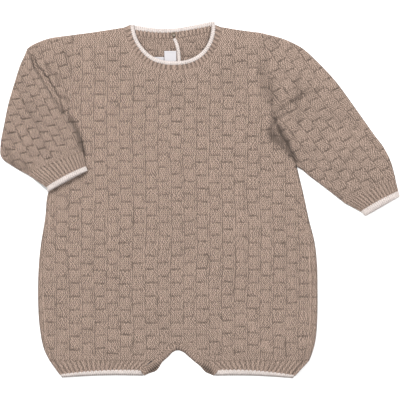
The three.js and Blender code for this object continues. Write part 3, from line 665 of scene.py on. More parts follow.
class Wiring:
    """Adds nodes to a tree and joins them."""

    def __init__(self, tree):
        self.tree = tree

    def node(self, kind, values=None, **settings):
        made = self.tree.nodes.new(kind)
        for key, value in settings.items():
            setattr(made, key, value)
        for key, value in (values or {}).items():
            if isinstance(value, Value):
                self.tree.links.new(value.socket, made.inputs[key])
            else:
                made.inputs[key].default_value = value
        return made

    def value(self, kind, values=None, output=0, **settings):
        return Value(self, self.node(kind, values, **settings).outputs[output])

    def math(self, operation, *values):
        return self.value("ShaderNodeMath", dict(enumerate(values)), operation=operation)

    def most(self, a, b):
        return self.math("MAXIMUM", a, b)

    def least(self, a, b):
        return self.math("MINIMUM", a, b)

    def bell(self, distance, width):
        """1 at distance 0, falling off over the width."""
        share = distance / width
        return self.math("EXPONENT", share * share * -1.0)

    def parts(self, vector):
        """The three numbers of a vector."""
        return [Value(self, socket) for socket in self.node("ShaderNodeSeparateXYZ", {0: vector}).outputs]

    def noise(self, place, scale, detail=1.0, output="Fac", **values):
        return self.value(
            "ShaderNodeTexNoise", {"Vector": place, "Scale": scale, "Detail": detail, **values}, output
        )

    def mixed(self, share, first, second):
        return self.value("ShaderNodeMixRGB", {"Fac": share, "Color1": first, "Color2": second})

    def given(self, label):
        """What the modifier hands to the tree under that label."""
        return Value(self, self.entry.outputs[label])


def geometry_tree(name, sizes):
    """The wiring of a Geometry Nodes tree with named sizes and a material."""
    tree = bpy.data.node_groups.new(name, "GeometryNodeTree")
    tree.is_modifier = True
    tree.interface.new_socket("Geometry", in_out="INPUT", socket_type="NodeSocketGeometry")
    for label, default in sizes.items():
        socket = tree.interface.new_socket(label, in_out="INPUT", socket_type="NodeSocketFloat")
        socket.default_value = default
        socket.subtype = "DISTANCE"
    tree.interface.new_socket("Material", in_out="INPUT", socket_type="NodeSocketMaterial")
    tree.interface.new_socket("Geometry", in_out="OUTPUT", socket_type="NodeSocketGeometry")
    wires = Wiring(tree)
    wires.entry = wires.node("NodeGroupInput")
    return wires


def finish_tree(w, geometry):
    """Gives the geometry its material and hands it out."""
    real = w.value("GeometryNodeRealizeInstances", {"Geometry": geometry})
    dressed = w.value("GeometryNodeSetMaterial", {"Geometry": real, "Material": w.given("Material")})
    w.node("NodeGroupOutput", {0: dressed})
    return w.tree


def read_knit(w):
    """Reads where in the knit each point is and which side of it is outside."""
    knit, out = (
        w.value("GeometryNodeInputNamedAttribute", {"Name": name}, data_type="FLOAT_VECTOR")
        for name in ("knit", "out")
    )
    return w.parts(knit), out


def press(w, out, depth, hollow):
    """Moves the points inwards by a depth in metres and keeps, as hollow, the painted shade (above 0) or
    painted highlight (below 0) of each place.
    """
    scaled = w.value("ShaderNodeVectorMath", {0: out, 3: depth * -1.0}, operation="SCALE")
    moved = w.value("GeometryNodeSetPosition", {"Geometry": w.given(0), "Offset": scaled})
    kept = {"Geometry": moved, "Name": "hollow", "Value": hollow}
    return w.value("GeometryNodeStoreNamedAttribute", kept, data_type="FLOAT", domain="POINT")


def basket_tree():
    """Uneven furrows round staggered knitted blocks, pressed in and painted with shade, and a painted
    highlight line beside each column.
    """
    w = geometry_tree(
        "Basket knit",
        {
            "Block Width": 0.0134,
            "Block Height": 0.0141,
            "Furrow Depth": 0.0008,
            "Furrow Width": 0.00058,
            "Crown": 0.0005,
        },
    )
    (u, v, mask), out = read_knit(w)
    sizes = ("Block Width", "Block Height", "Furrow Width")
    width, height, furrow = (w.given(size) * 1000.0 for size in sizes)
    spot = w.value("ShaderNodeCombineXYZ", {0: u, 1: v})
    shifts = w.parts(w.noise(spot, 0.11, 2.0, output="Color"))
    strength = w.least(w.most((w.noise(spot, 0.16) - 0.5) * 2.0 + 0.85, 0.45), 1.0)
    uprights = w.least(w.most((w.noise(spot, 0.13, Distortion=0.6) - 0.5) * 3.4 + 0.7, 0.4), 1.0)
    across = ((shifts[0] - 0.5) * 2.6 + u) / width
    column_number = w.math("FLOOR", across)
    share_u = across - column_number
    odd = w.math("FLOORED_MODULO", column_number, 2.0)
    share_v = w.math("FRACT", ((shifts[1] - 0.5) * 3.4 + v) / height + odd * 0.5)
    from_left, from_right = share_u * width, (1.0 - share_u) * width
    to_end = w.least(share_v, 1.0 - share_v) * height
    side = w.most(w.bell(from_left - 0.9, 0.6), w.bell(from_right - 0.7, 0.5))
    ridge = w.most(w.bell(from_left, 0.55), w.bell(from_right, 0.4))
    inner = w.least(w.least(from_left, from_right) * 0.8, 1.0)
    foot = w.bell(to_end, furrow) * inner * (strength * 1.05)
    # hollow above 0 is the furrows' painted shade, below 0 the ridges' painted highlight; only its positive
    # part presses the furrows in.
    hollow = (w.most(side * 0.9 * uprights, foot) - ridge * 0.55) * mask
    pillow = w.math("SINE", share_u * math.pi) * w.math("SINE", share_v * math.pi)
    low = (1.0 - pillow**0.5) * mask
    depth = w.most(hollow, 0.0) * w.given("Furrow Depth") + low * w.given("Crown")
    return finish_tree(w, press(w, out, depth, hollow))


def rib_tree():
    """Ribs across a band, and the small stitches of an edging: the furrows are pressed in and painted with
    shade, the ridges painted with a highlight.
    """
    w = geometry_tree("Rib knit", {"Rib Pitch": 0.0035, "Rib Relief": 0.0009})
    (u, _, mask), out = read_knit(w)
    turn = u / (w.given("Rib Pitch") * 1000.0) * (2 * math.pi)
    wave = w.math("COSINE", turn) * 0.5 + 0.5
    hollow = (1.0 - wave) ** 2.2 * mask
    ridge = wave**2.0 * mask * 0.65
    # The stored hollow is painted shade in the furrows and, below 0, painted highlight on the ridges.
    return finish_tree(w, press(w, out, hollow * w.given("Rib Relief"), hollow * 0.85 - ridge))


def stitch_tree():
    """Small stitches in a row along a line."""
    w = geometry_tree("Seam stitches", {"Spacing": 0.0024, "Stitch Length": 0.0021, "Stitch Width": 0.0011})
    thick = w.given("Stitch Width")
    line = w.value("GeometryNodeMeshToCurve", {"Mesh": w.given(0)})
    steps = w.value("GeometryNodeResampleCurve", {"Curve": line, "Length": w.given("Spacing")}, mode="LENGTH")
    tangent = w.value("GeometryNodeInputTangent")
    turned = w.value("FunctionNodeAlignRotationToVector", {"Vector": tangent}, axis="X")
    ball = w.value("GeometryNodeMeshUVSphere", {"Segments": 8, "Rings": 5, "Radius": 0.5})
    size = w.value("ShaderNodeCombineXYZ", {0: w.given("Stitch Length"), 1: thick, 2: thick})
    shaped = w.value("GeometryNodeTransform", {"Geometry": ball, "Scale": size})
    row = w.value("GeometryNodeInstanceOnPoints", {"Points": steps, "Instance": shaped, "Rotation": turned})
    return finish_tree(w, w.value("GeometryNodeSetShadeSmooth", {"Geometry": row}))


TREE_MAKERS = {"Basket knit": basket_tree, "Rib knit": rib_tree, "Seam stitches": stitch_tree}


def applied(piece):
    """Keeps what the modifiers of a piece make as its plain mesh."""
    graph = bpy.context.evaluated_depsgraph_get()
    graph.update()
    shown = piece.evaluated_get(graph)
    mesh = bpy.data.meshes.new_from_object(shown, preserve_all_data_layers=True, depsgraph=graph)
    piece.modifiers.clear()
    old = piece.data
    piece.data = mesh
    bpy.data.meshes.remove(old)
    mesh.name = piece.name
    return piece


def worked(piece, tree_name, material, **sizes):
    """Runs a tree on a piece and keeps the result."""
    tree = bpy.data.node_groups.get(tree_name) or TREE_MAKERS[tree_name]()
    modifier = piece.modifiers.new(tree_name, "NODES")
    modifier.node_group = tree
    inputs = {s.name: s.identifier for s in tree.interface.items_tree if s.in_out == "INPUT"}
    modifier[inputs["Material"]] = material
    for key, value in sizes.items():
        modifier[inputs[key.replace("_", " ").title()]] = value
    return applied(piece)


def basket_worked(piece, sizes, depth=1.0, crown=1.0):
    """Works the basket blocks into a piece, with shares of the usual depth and crown."""
    return worked(
        piece, "Basket knit", taupe(), block_width=sizes.block_width, block_height=sizes.block_height,
        furrow_depth=sizes.furrow_depth * depth, crown=sizes.crown * crown,
    )


def settle(piece, node=None):
    """Puts a piece in the place of its node, whose part it hides, and on the one body."""
    if node:
        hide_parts(node)
    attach(piece, "root")
    return piece


def rib_worked(piece, node, yarn, pitch, relief):
    """Works ribs or edging stitches into a band or a cuff and puts it in its place."""
    worked(piece, "Rib knit", yarn(), rib_pitch=pitch, rib_relief=relief)
    settle(piece, node)


# Materials


def tone(colour, factor):
    return (*[min(1, c * factor) for c in colour], 1)


def material_of(name, dress, *settings):
    """The material with that name, made when it is first asked for."""
    material = bpy.data.materials.get(name)
    if not material:
        material = bpy.data.materials.new(name)
        material.use_nodes = True
        material.node_tree.nodes.clear()
        wires = Wiring(material.node_tree)
        wires.node("ShaderNodeOutputMaterial", {"Surface": dress(wires, *settings)})
    return material


def knitted(w, colour, shade, grain):
    """Knitted cotton: rows of small V stitches and a soft fuzz, with painted shade in the furrows, creases
    and shaded places and painted highlights on the ridges.
    """
    place = w.value("ShaderNodeAttribute", output="Vector", attribute_name="knit")
    hollow = w.value("ShaderNodeAttribute", output="Fac", attribute_name="hollow")
    crease = w.value("ShaderNodeAttribute", output="Fac", attribute_name="crease")
    spot = w.value("ShaderNodeTexCoord", output="Object")
    split = w.parts(place)
    across, along = split[0] / STITCH[0], split[1] / STITCH[1]

    def random_in(per_stitch, per_row, shift=0.0):
        """One random value for each small cell of the knit."""
        low_u = w.math("FLOOR", across * per_stitch + shift)
        cell = w.value("ShaderNodeCombineXYZ", {0: low_u, 1: w.math("FLOOR", along * per_row)})
        return w.value("ShaderNodeTexWhiteNoise", {"Vector": cell}, output="Value", noise_dimensions="2D")

    lean = w.math("ROUND", random_in(0.5, 1.0, shift=0.5)) * 1.24 - 0.62
    turn = w.math("FRACT", along) * lean + (random_in(0.5, 1.0) + across)
    leg = w.math("COSINE", turn * (2 * math.pi)) * 0.5
    loop = w.math("COSINE", along * (2 * math.pi)) * 0.12
    bold = w.most((w.noise(place, 0.1) - 0.5) * 2.0 + 1.0, 0.3) * (random_in(2.0, 2.0) * 0.8 + 0.6)
    yarn = bold * leg + loop
    fuzz = w.noise(spot, 900.0)
    patches = w.noise(spot, 42.0, 3.0, Roughness=0.55)
    uneven = random_in(2.0, 2.0) - random_in(2.0, 2.0, shift=1.0)
    lit = yarn * (0.5 * grain) + 0.49 + uneven * (0.12 * grain)
    lit = lit + (fuzz - 0.5) * (0.25 * grain) + (patches - 0.5) * 0.2
    ramp = w.node("ShaderNodeValToRGB", {"Fac": lit})
    for element, factor in zip(ramp.color_ramp.elements, (0.35, 1.7)):
        element.color = tone(colour, factor)
    # Painted shade from the furrows, creases and shaded places darkens the colour; painted highlight from the
    # ridges (hollow below 0) lightens it.
    shadow = w.least(crease * 0.85 + w.most(hollow, 0.0) * shade, 1.0)
    shine = w.most(hollow * -1.0, 0.0) * 0.9
    painted_shade_colour = w.mixed(shadow, Value(w, ramp.outputs[0]), tone(colour, 0.34))
    bump = w.value("ShaderNodeBump", {"Strength": 0.8, "Distance": 0.0005, "Height": fuzz * 0.5 + yarn})
    return w.value(
        "ShaderNodeBsdfPrincipled",
        {
            "Base Color": w.mixed(shine, painted_shade_colour, tone(colour, 1.35)),
            "Roughness": 0.95,
            "Specular IOR Level": 0.1,
            "Sheen Weight": 0.05,
            "Sheen Roughness": 0.6,
            "Normal": bump,
        },
    )


def woven(w, colour):
    """A woven satin label, left blank."""
    spot = w.value("ShaderNodeTexCoord", output="Object")
    warp, weft = (
        w.value("ShaderNodeTexWave", {"Vector": spot, "Scale": scale}, output="Fac", bands_direction=way)
        for way, scale in (("X", 900.0), ("Y", 620.0))
    )
    threads = warp * weft
    tint = w.mixed(threads, tone(colour, 0.86), tone(colour, 1))
    bump = w.value("ShaderNodeBump", {"Strength": 0.5, "Distance": 0.0001, "Height": threads})
    return w.value(
        "ShaderNodeBsdfPrincipled",
        {"Base Color": tint, "Roughness": 0.55, "Sheen Weight": 0.3, "Normal": bump},
    )


def horn(w, colour):
    """Dark horn with a cloudy grain."""
    cloud = w.noise(w.value("ShaderNodeTexCoord", output="Object"), 480.0, 4.0, Distortion=1.2)
    tint = w.mixed(cloud, tone(colour, 0.6), tone(colour, 1.5))
    return w.value("ShaderNodeBsdfPrincipled", {"Base Color": tint, "Roughness": cloud * 0.25 + 0.3})


def taupe(name="taupe basket knit", shade=1.0, grain=2.0):
    colours = bpy.context.scene.romper_colours
    return material_of(name, knitted, colours.taupe, shade * colours.furrow_shade, grain)


def neck_taupe():
    """The same yarn in the neck rib, with darker painted shade in its furrows and a weaker grain."""
    return taupe("taupe neck rib", 1.3, 1.0)


def cream():
    return material_of("cream edging knit", knitted, bpy.context.scene.romper_colours.cream, 0.35, 0.5)


# Edges that the pieces share


def side_path(key_side, sign, key_wrap=None):
    y = column(BODY_SIDES, SIDE_COLUMNS, "y")
    x = sign * column(BODY_SIDES, SIDE_COLUMNS, key_side)
    if key_wrap:
        x = x - sign * column(BODY_SIDES, SIDE_COLUMNS, key_wrap)
    return curve(np.column_stack([x, y]))


def armhole(side, sign):
    x = sign * column(ARMHOLES, ARMHOLE_COLUMNS, side)
    return smooth(np.column_stack([x, column(ARMHOLES, ARMHOLE_COLUMNS, "y")]))


SIDE_LEFT, SIDE_RIGHT = side_path("left", -1), side_path("right", 1)
WRAP_LEFT, WRAP_RIGHT = side_path("left", -1, "wrap_left"), side_path("right", 1, "wrap_right")
ARMHOLE_LEFT, ARMHOLE_RIGHT = armhole("left", -1), armhole("right", 1)
INSEAM_EDGE = smooth(INSEAM)
INSEAM_TOP = beside(INSEAM_EDGE, INSEAM_BAND)
SHOULDER_LINE = as_points(SHOULDER_LEFT + SHOULDER_RIGHT)
on_table = everywhere(0.0)


def front_neck(out, count):
    """The front neck edge from its left corner to its right one, moved out by a distance."""
    lean, foot, height = NECK["lean"]
    end = NECK["corner"][0] + NECK["corner"][1] * max(0.0, out)
    angle = np.linspace(math.pi - end, end, count + 1)
    c, s = np.cos(angle), np.sin(angle)
    power = 2 / NECK["power"]
    x = NECK["x"] + (NECK["half_width"] + out) * np.sign(c) * np.abs(c) ** power
    y = NECK["y"] - (NECK["depth"] + out) * np.abs(s) ** power
    x = x - np.where(c < 0, lean * np.clip((y - foot) / height, 0, 1), 0)
    return np.column_stack([x, y])


def body_outline(left, right, neckline):
    """The outline of a body panel, from its left side to the right and back over the neck."""
    top = HEMS["left"]["rib_top"][1]
    crotch = INSEAM_TOP[INSEAM_TOP[:, 1] > top + 0.5]
    shoulder_right = smooth(SHOULDER_RIGHT)[::-1]
    shoulder_left = smooth(SHOULDER_LEFT)[::-1]
    runs = [
        left[0],
        between(HEMS["left"]["rib_top"], 1),
        crotch,
        between(HEMS["right"]["rib_top"], 0),
        right,
        ARMHOLE_RIGHT[1:],
        shoulder_right[shoulder_right[:, 0] > neckline[-1][0] + 2],
        neckline[::-1],
        shoulder_left[shoulder_left[:, 0] < neckline[0][0] - 2],
        ARMHOLE_LEFT[::-1][1:],
        left[::-1],
    ]
    whole = outline_of(*runs)
    return outline_of(spaced(np.vstack([whole, whole[:1]]), 1.5))


def sleeve_base(points):
    """Height of the underside of the turned-down sleeve."""
    support = as_points(SUPPORT)[::-1]
    outside = x_at(support, points) - points[:, 0]
    lifted = 1 - step_between(outside, SLEEVE_LIFT["to"], SLEEVE_LIFT["from"])
    parted = 1 - step_between(points[:, 1], SLEEVE_LIFT["clear"], SLEEVE_LIFT["meets"])
    return SLEEVE_LIFT["height"] * lifted * parted


# Body panels


def front_loft(points):
    """How far the front stands off the back."""
    edges = [WRAP_LEFT, WRAP_RIGHT, ARMHOLE_LEFT, ARMHOLE_RIGHT, SHOULDER_LINE, INSEAM_TOP]
    side = np.min([distance_to(e, points, step=6.0) for e in edges], axis=0)
    side = np.minimum(side, np.maximum(0, points[:, 1] - HEMS["left"]["rib_top"][1]))
    pleat = as_points(PLEAT)[::-1]
    under = 1 - step_between(points[:, 0] - x_at(pleat, points), 0, 28)
    pressed = under * step_between(points[:, 1], 170, 200)
    neck = distance_to(front_neck(NECK["rib"] + SEAM_GAP, 60), points, step=4.0) / LOFT["neck"][1]
    return rise(LOFT["front"], side) * (1 - 0.8 * pressed) + LOFT["neck"][0] * np.exp(-(neck**2))


def front_pattern(points):
    """Where the basket blocks show: not beside the shoulders, the neck and the leg ribs."""
    neckline = front_neck(NECK["rib"] + SEAM_GAP, 60)
    shoulder = step_between(distance_to(SHOULDER_LINE, points), 13, 16)
    neck = step_between(distance_to(neckline, points), 5, 8)
    leg = step_between(points[:, 1] + 1.2 * np.sin(points[:, 0] / 13), 21, 24)
    crotch = step_between(distance_to(INSEAM_TOP, points), 2, 5)
    return 1.2 * np.min([shoulder, neck, leg, crotch], axis=0)


def make_front(sizes):
    neckline = front_neck(NECK["rib"] + SEAM_GAP, 120)
    neckline = neckline[neckline[:, 1] < 369.5]
    outline = inset(body_outline(WRAP_LEFT, WRAP_RIGHT, neckline), SEAM_GAP / 2)
    knit = Knit((18.9, 128), 0, 0, sizes.wander, 0.4, hills=FRONT_HILLS)
    over = inner_points(outline, knit.lattice(outline, *FINE_STEP), [0.12, 0.6, 1.3, 2.2], 0.5)
    under = inner_points(outline, knit.lattice(outline, 8, 8), [1.0], 3.0)

    folds = FOLDS["front"] + [fold for fold in FOLDS["sleeve_right"] if fold[3] < -0.9]

    def top(points):
        laid = hand_laid(points, 1.3, 0.35) * step_between(points[:, 1], 18, 34)
        free = CLOTH + 0.5 + front_loft(points) + fold_height(folds, points) + laid
        return FRONT_LEVEL + np.maximum(free, TROUGH_FLOOR)

    def bottom(points):
        raised = np.maximum(0, fold_height(FOLDS["front"], points))
        return FRONT_LEVEL + 0.9 * front_loft(points) + 0.5 * raised

    layer = cloth_between(
        outline, over, under, top, bottom, lambda p: top(p) - 0.04, 0.6, 1.2, knit, front_pattern, folds,
        SHADED["outside"],
    )
    return basket_worked(new_piece("romper_front", *layer), sizes)


def back_pattern(points):
    """Where the basket blocks of the back show: not beside the neck and the leg ribs."""
    below_neck = np.interp(points[:, 0], *as_points(BACK_NECK).T) - TIP_WIDTH - NECK["rib"] - points[:, 1]
    neck = step_between(below_neck, 4, 7)
    return neck * step_between(points[:, 1], 21, 24)


def make_back(sizes):
    foot = TIP_WIDTH + NECK["rib"] + SEAM_GAP
    neckline = smooth(BACK_NECK) - [0, foot]
    outline = inset(body_outline(SIDE_LEFT, SIDE_RIGHT, neckline), SEAM_GAP / 2)
    knit = Knit((18.9, 134), 0, 0, sizes.wander, 2.1)
    fine, coarse = knit.lattice(outline, *FINE_STEP), knit.lattice(outline, 9, 9)

    def from_neck(points):
        return distance_to(as_points(NEAR_NECK), points, step=0)

    def from_side(points):
        return np.minimum(distance_to(SIDE_LEFT, points), distance_to(SIDE_RIGHT, points))

    seen = fine[(from_neck(fine) < 30) | (from_side(fine) < 13)]
    far = coarse[(from_neck(coarse) > 32) & (from_side(coarse) > 15)]
    over = inner_points(outline, np.vstack([seen, far]), [0.5, 1.2, 2.0], 0.5)
    under = inner_points(outline, knit.lattice(outline, *COARSE_STEP), [0.9], 1.0)
    high = FRONT_LEVEL + CLOTH + 0.6

    def wrapped(points):
        """1 on the sides that turn over to the front, 0 elsewhere."""
        left, right = points[:, 0] - x_at(WRAP_LEFT, points), x_at(WRAP_RIGHT, points) - points[:, 0]
        turned = 1 - step_between(np.minimum(left, right), 0.2, 1.2)
        return turned * (1 - step_between(points[:, 1], 219, 222))

    def top(points):
        return CLOTH + (high - CLOTH) * wrapped(points)

    def rim(points):
        return 0.9 + 0.9 * wrapped(points)

    # Painted shade along both sides, where the back turns over to the front.
    sides = (SIDE_LEFT[::6], SIDE_RIGHT[::6])
    painted_side_shade = [(a, b, 1.3, 0.45) for side in sides for a, b in zip(side[:-1], side[1:])]
    layer = cloth_between(
        outline, over, under, top, on_table, rim, 2.4, 1.4, knit, back_pattern, (), SHADED["inside"] + painted_side_shade
    )
    return basket_worked(new_piece("romper_back", *layer), sizes, depth=0.8, crown=0.6)


# Bands


def band(
    node, inner, outer, level, height, run, pitch, relief, yarn=taupe, arch=0.25, flush=(0, 0), fade=0.0,
    dim=0.0, places=(),
):
    """A strip between two paths: run is how far along the ribs each of their points is."""
    steps = len(inner)
    shares = np.array([0, 0.01, 0.06, 0.15, 0.3, 0.5, 0.7, 0.85, 0.94, 0.99, 1])
    flush = np.where(shares < 0.5, *flush)
    ends = np.clip(np.minimum(np.arange(steps), np.arange(steps)[::-1]) / 6, 0, 1)
    crown = np.sqrt(1 - (2 * shares - 1) ** 4) * (1 - flush) + flush
    wide = np.linalg.norm(outer - inner, axis=1)
    lifts = height * (1 - arch + arch * crown) * np.sqrt(np.maximum(0.2, crown))
    shown = np.minimum(1, 2.2 * crown) * (1 - fade * shares)
    lines = list(zip(shares, lifts, shown, np.ones(len(shares))))
    lines += [(share, 0, 0, -1) for share in (0.97, 0.5, 0.03)]
    sections, knit, out = [], [], []
    for share, lift, clear, up in lines:
        at = inner + (outer - inner) * share
        sections.append(np.column_stack([at, level(at) + lift]))
        knit.append(np.column_stack([run, share * wide, clear * ends]))
        out.append(np.tile([0, 0, up], (steps, 1)))
    points, faces = swept(np.stack(sections, axis=1))
    knit, out = np.stack(knit, axis=1).reshape(-1, 3), np.stack(out, axis=1).reshape(-1, 3)
    # Painted shade along the edge on the inner path, where the band rolls under, and in the shaded places.
    crease = np.tile(np.concatenate([dim * np.clip(1.2 - 6 * shares, 0, 1), [0, 0, dim]]), steps)
    crease = np.maximum(crease, shaded(points[:, :2], places))
    piece = outward(new_piece(f"romper_{node}", points, faces, knit, out, crease))
    rib_worked(piece, node, yarn, pitch, relief)


def edging(node, inner, outer, level, roll, run, sizes, **more):
    """A cream edging, which stands up from the cloth by its roll."""
    stitch, relief = sizes.edge_stitch, sizes.edge_relief
    band(node, inner, outer, level, CLOTH + roll, run, stitch, relief, cream, arch=0.45, **more)


def rib_run(count, pitch, per=6):
    """Rib positions in millimetres for that many ribs, with steps between them."""
    return np.linspace(0, count * pitch, count * per + 1) + pitch / 2


def hem_line(ends, rise_by, count, drop=0.0):
    at = between(ends, np.linspace(0, 1, count + 1))
    at[:, 1] += rise_by * np.sin(np.linspace(0, math.pi, count + 1)) - drop
    return at


def make_leg_bands(sizes):
    """The rib and the edging of both leg hems, front and back."""
    pitch = sizes.rib_pitch * 1000
    for side, hem in HEMS.items():
        run = rib_run(round((hem["foot"][2] - hem["foot"][0]) / pitch), pitch)
        top = between(hem["rib_top"], np.linspace(0, 1, len(run))) + [0, 0.5]
        foot = hem_line(hem["rib_foot"], hem["rib_rise"], len(run) - 1) - [0, 0.5]
        edge_top = hem_line(hem["rib_foot"], hem["rib_rise"], EDGE_STEPS) + [0, 0.9]
        for layer, level, drop, roll in LAYERS:
            band(
                f"{layer}_leg_rib_{side}", foot, top, everywhere(level), CLOTH + 0.5, run, sizes.rib_pitch,
                sizes.rib_relief, flush=(0.97, 0.99), fade=0.4, places=SHADED["outside"],
            )
            edge_foot = hem_line(hem["foot"], hem["foot_rise"], EDGE_STEPS, drop)
            # The edging gets painted shade along its foot, where it rolls under.
            edging(
                f"{layer}_leg_tip_{side}", edge_foot, edge_top, everywhere(level), roll, run_of(edge_foot),
                sizes, dim=0.5, places=SHADED["outside"],
            )


def make_inseam_bands(sizes):
    """The band between the legs, front and back: the back one peeps out below the front one at two places."""
    pitch = sizes.rib_pitch * INSEAM_PITCH * 1000
    length = run_of(INSEAM_EDGE)[-1]
    run = rib_run(round(length / pitch), pitch)
    edge = spaced(curve(INSEAM), length / (len(run) - 1))[: len(run)]
    peeps = sum(PEEP["drop"] * np.exp(-(((edge[:, 0] - at) / PEEP["width"]) ** 2)) for at in PEEP["places"])
    for layer, level, drop, _ in LAYERS:
        band(
            f"{layer}_inseam_band", beside(edge, -drop * (1 + peeps[:, None] / BACK_PROUD)),
            beside(edge, INSEAM_BAND + 0.2), everywhere(level), CLOTH + 0.5, run[: len(edge)], pitch / 1000,
            sizes.rib_relief * 0.5, flush=(0.2, 0.97), fade=0.5, places=SHADED["outside"],
        )


def make_neck_bands(sizes):
    """The rib and the edging round the front of the neck, and both halves of those at its back."""
    level = everywhere(NECK["level"])
    run = rib_run(NECK_RIBS, NECK_PITCH, per=12)
    band(
        "front_neck_rib", front_neck(-0.5, len(run) - 1), front_neck(NECK["rib"] + 0.4, len(run) - 1), level,
        CLOTH + 0.5, run, NECK_PITCH / 1000, 0.9 * sizes.rib_relief, neck_taupe, flush=(0.97, 0.97),
        fade=0.45,
    )
    inner, outer = front_neck(0.2 - TIP_WIDTH, 240), front_neck(0.4, 240)
    edging("front_neck_tip", inner, outer, level, TIP_ROLL + 0.3, run_of(outer), sizes)
    whole = curve(BACK_NECK)
    for side, sign, count in (("left", -1, 13), ("right", 1, 9)):
        edge_x = SLIT_X - sign * 0.2
        part = whole[sign * (whole[:, 0] - edge_x) > 0]
        corner = np.array([[edge_x, np.interp(edge_x, whole[:, 0], whole[:, 1])]])
        part = np.vstack([part, corner] if sign < 0 else [corner, part])
        run = rib_run(count, BACK_NECK_PITCH)
        path = spaced(part, run_of(part)[-1] / (len(run) - 1))[: len(run)]
        band(
            f"back_neck_rib_{side}", path - [0, TIP_WIDTH + NECK["rib"] + 0.4], path - [0, TIP_WIDTH - 0.4],
            on_table, CLOTH + 0.5, run[: len(path)], BACK_NECK_PITCH / 1000, 0.8 * sizes.rib_relief,
            flush=(0.97, 0.9),
        )
        path = spaced(part, 0.4)
        lower = path - [0, TIP_WIDTH + 0.8]
        lower[:, 1] -= 1.3 * np.abs(path[:, 0] / 45) ** 2
        edging(f"back_neck_tip_{side}", lower, path, on_table, TIP_ROLL, run_of(path), sizes)


# Sleeves


def sleeve_layer(outline, knit, loft, edges, joins, folds, base, mask, seed, open_above=0.0, cuff=None):
    """A flattened sleeve: its outer surface all round, and the surface of the space inside."""
    full = 2 * CLOTH + LAYER_GAP + 0.5

    def puff(points):
        free = rise(loft, np.min([distance_to(e, points) for e in edges], axis=0))
        if not cuff:
            return free
        start, end = as_points([cuff[0][:2], cuff[0][2:]])
        share = np.clip((points - start) @ (end - start) / np.sum((end - start) ** 2), 0, 1)
        near = 1 - step_between(distance_to(as_points([start, end]), points, step=0), 0, 9)
        return free * (1 - near) + (cuff[1] * np.sin(math.pi * share) - 0.1) * near

    def top(points):
        free = full + puff(points) + fold_height(folds, points) + hand_laid(points, seed, 0.25)
        return base(points) + np.maximum(free, TROUGH_FLOOR)

    def inner_top(points):
        return base(points) + full - 2.0 + 0.9 * puff(points)

    def inner_bottom(points):
        return base(points) + CLOTH - 0.1

    def middle(points):
        near = np.min([distance_to(e, points, step=2.0) for e in joins], axis=0)
        sewn = 1 - step_between(near, 0.5, 3.5)
        return base(points) + full * 0.48 + sewn * (top(points) - base(points) - full * 0.48 - 0.1)

    over = inner_points(outline, knit.lattice(outline, *FINE_STEP), [0.12, 0.5, 1.0, 1.8], 0.5)
    under = inner_points(outline, knit.lattice(outline, *COARSE_STEP), [0.5, 1.3], 1.0)
    outer = cloth_between(
        outline, over, under, top, base, middle, 2.3, 2.2, knit, mask, folds, SHADED["outside"]
    )
    hollow = outline[outline[:, 1] > open_above]
    hollow = inset(spaced(np.vstack([hollow, hollow[:1]]), 4.0)[:-1], 1.9)
    inner = inner_points(hollow, knit.lattice(hollow, 5, 5), [1.0], 1.5)
    space = cloth_between(
        hollow, inner, inner, inner_top, inner_bottom, lambda p: base(p) + 2.2, 1.6, 1.6, knit,
        everywhere(0.0), flip=True,
    )
    return joined(outer, space)


def make_sleeve_right(sizes):
    top, foot = smooth(SLEEVE_RIGHT_TOP), smooth(SLEEVE_RIGHT_FOOT)
    cuff_line = between(CUFF_RIGHT["top"], np.linspace(1, 0, 40))
    outline = inset(outline_of(top, cuff_line, foot, ARMHOLE_RIGHT[1:-1]), SEAM_GAP / 2)
    knit = Knit((118, 352), 26, 39, sizes.wander, 1.0, scale=(0.92, 0.95))

    def pattern(points):
        return 1.3 * step_between(distance_to(cuff_line, points), 3, 6)

    layer = sleeve_layer(
        outline, knit, LOFT["sleeve_right"], [top, foot, ARMHOLE_RIGHT], [ARMHOLE_RIGHT[4:], cuff_line],
        FOLDS["sleeve_right"], on_table, pattern, 2.2, cuff=(CUFF_RIGHT["top"], CUFF_LOFT["right"]),
    )
    return basket_worked(new_piece("romper_sleeve_right", *layer), sizes)


def make_sleeve_left(sizes):
    pleat, outside, cap_top = smooth(PLEAT), smooth(SLEEVE_LEFT_OUTSIDE), smooth(CAP_TOP)
    seam = ARMHOLE_LEFT[ARMHOLE_LEFT[:, 1] > 226]
    hidden = smooth([row for row in SUPPORT if 222 < row[1] < 346][::-1])
    cuff_line = between(CUFF_LEFT["top"], np.linspace(0, 1, 42))
    turned = inset(outline_of(outside[::-1], cuff_line, pleat[::-1], [(-156, 347)]), SEAM_GAP / 2)
    cap_outline = inset(outline_of(hidden, [(-158, 346)], cap_top[1:], seam[::-1][1:]), SEAM_GAP / 2)
    knit = Knit((-150, 330), 10, 28, sizes.wander, 3.0, scale=(0.78, 0.84))

    def pattern(points):
        return 1.5 * step_between(distance_to(cuff_line, points), 3, 6)

    lower = sleeve_layer(
        turned, knit, LOFT["sleeve_left"], [pleat, outside], [cuff_line], FOLDS["sleeve_left"], sleeve_base,
        pattern, 0.6, cuff=(CUFF_LEFT["top"], CUFF_LOFT["left"]),
    )
    cap_knit = Knit((-130, 340), 18, 16, sizes.wander, 4.0, scale=(0.92, 0.95))
    cap = sleeve_layer(
        cap_outline, cap_knit, LOFT["cap"], [cap_top, hidden, ARMHOLE_LEFT], [seam], FOLDS["cap"], on_table,
        everywhere(1.3), 1.1, open_above=280,
    )
    return basket_worked(new_piece("romper_sleeve_left", *joined(lower, cap)), sizes)


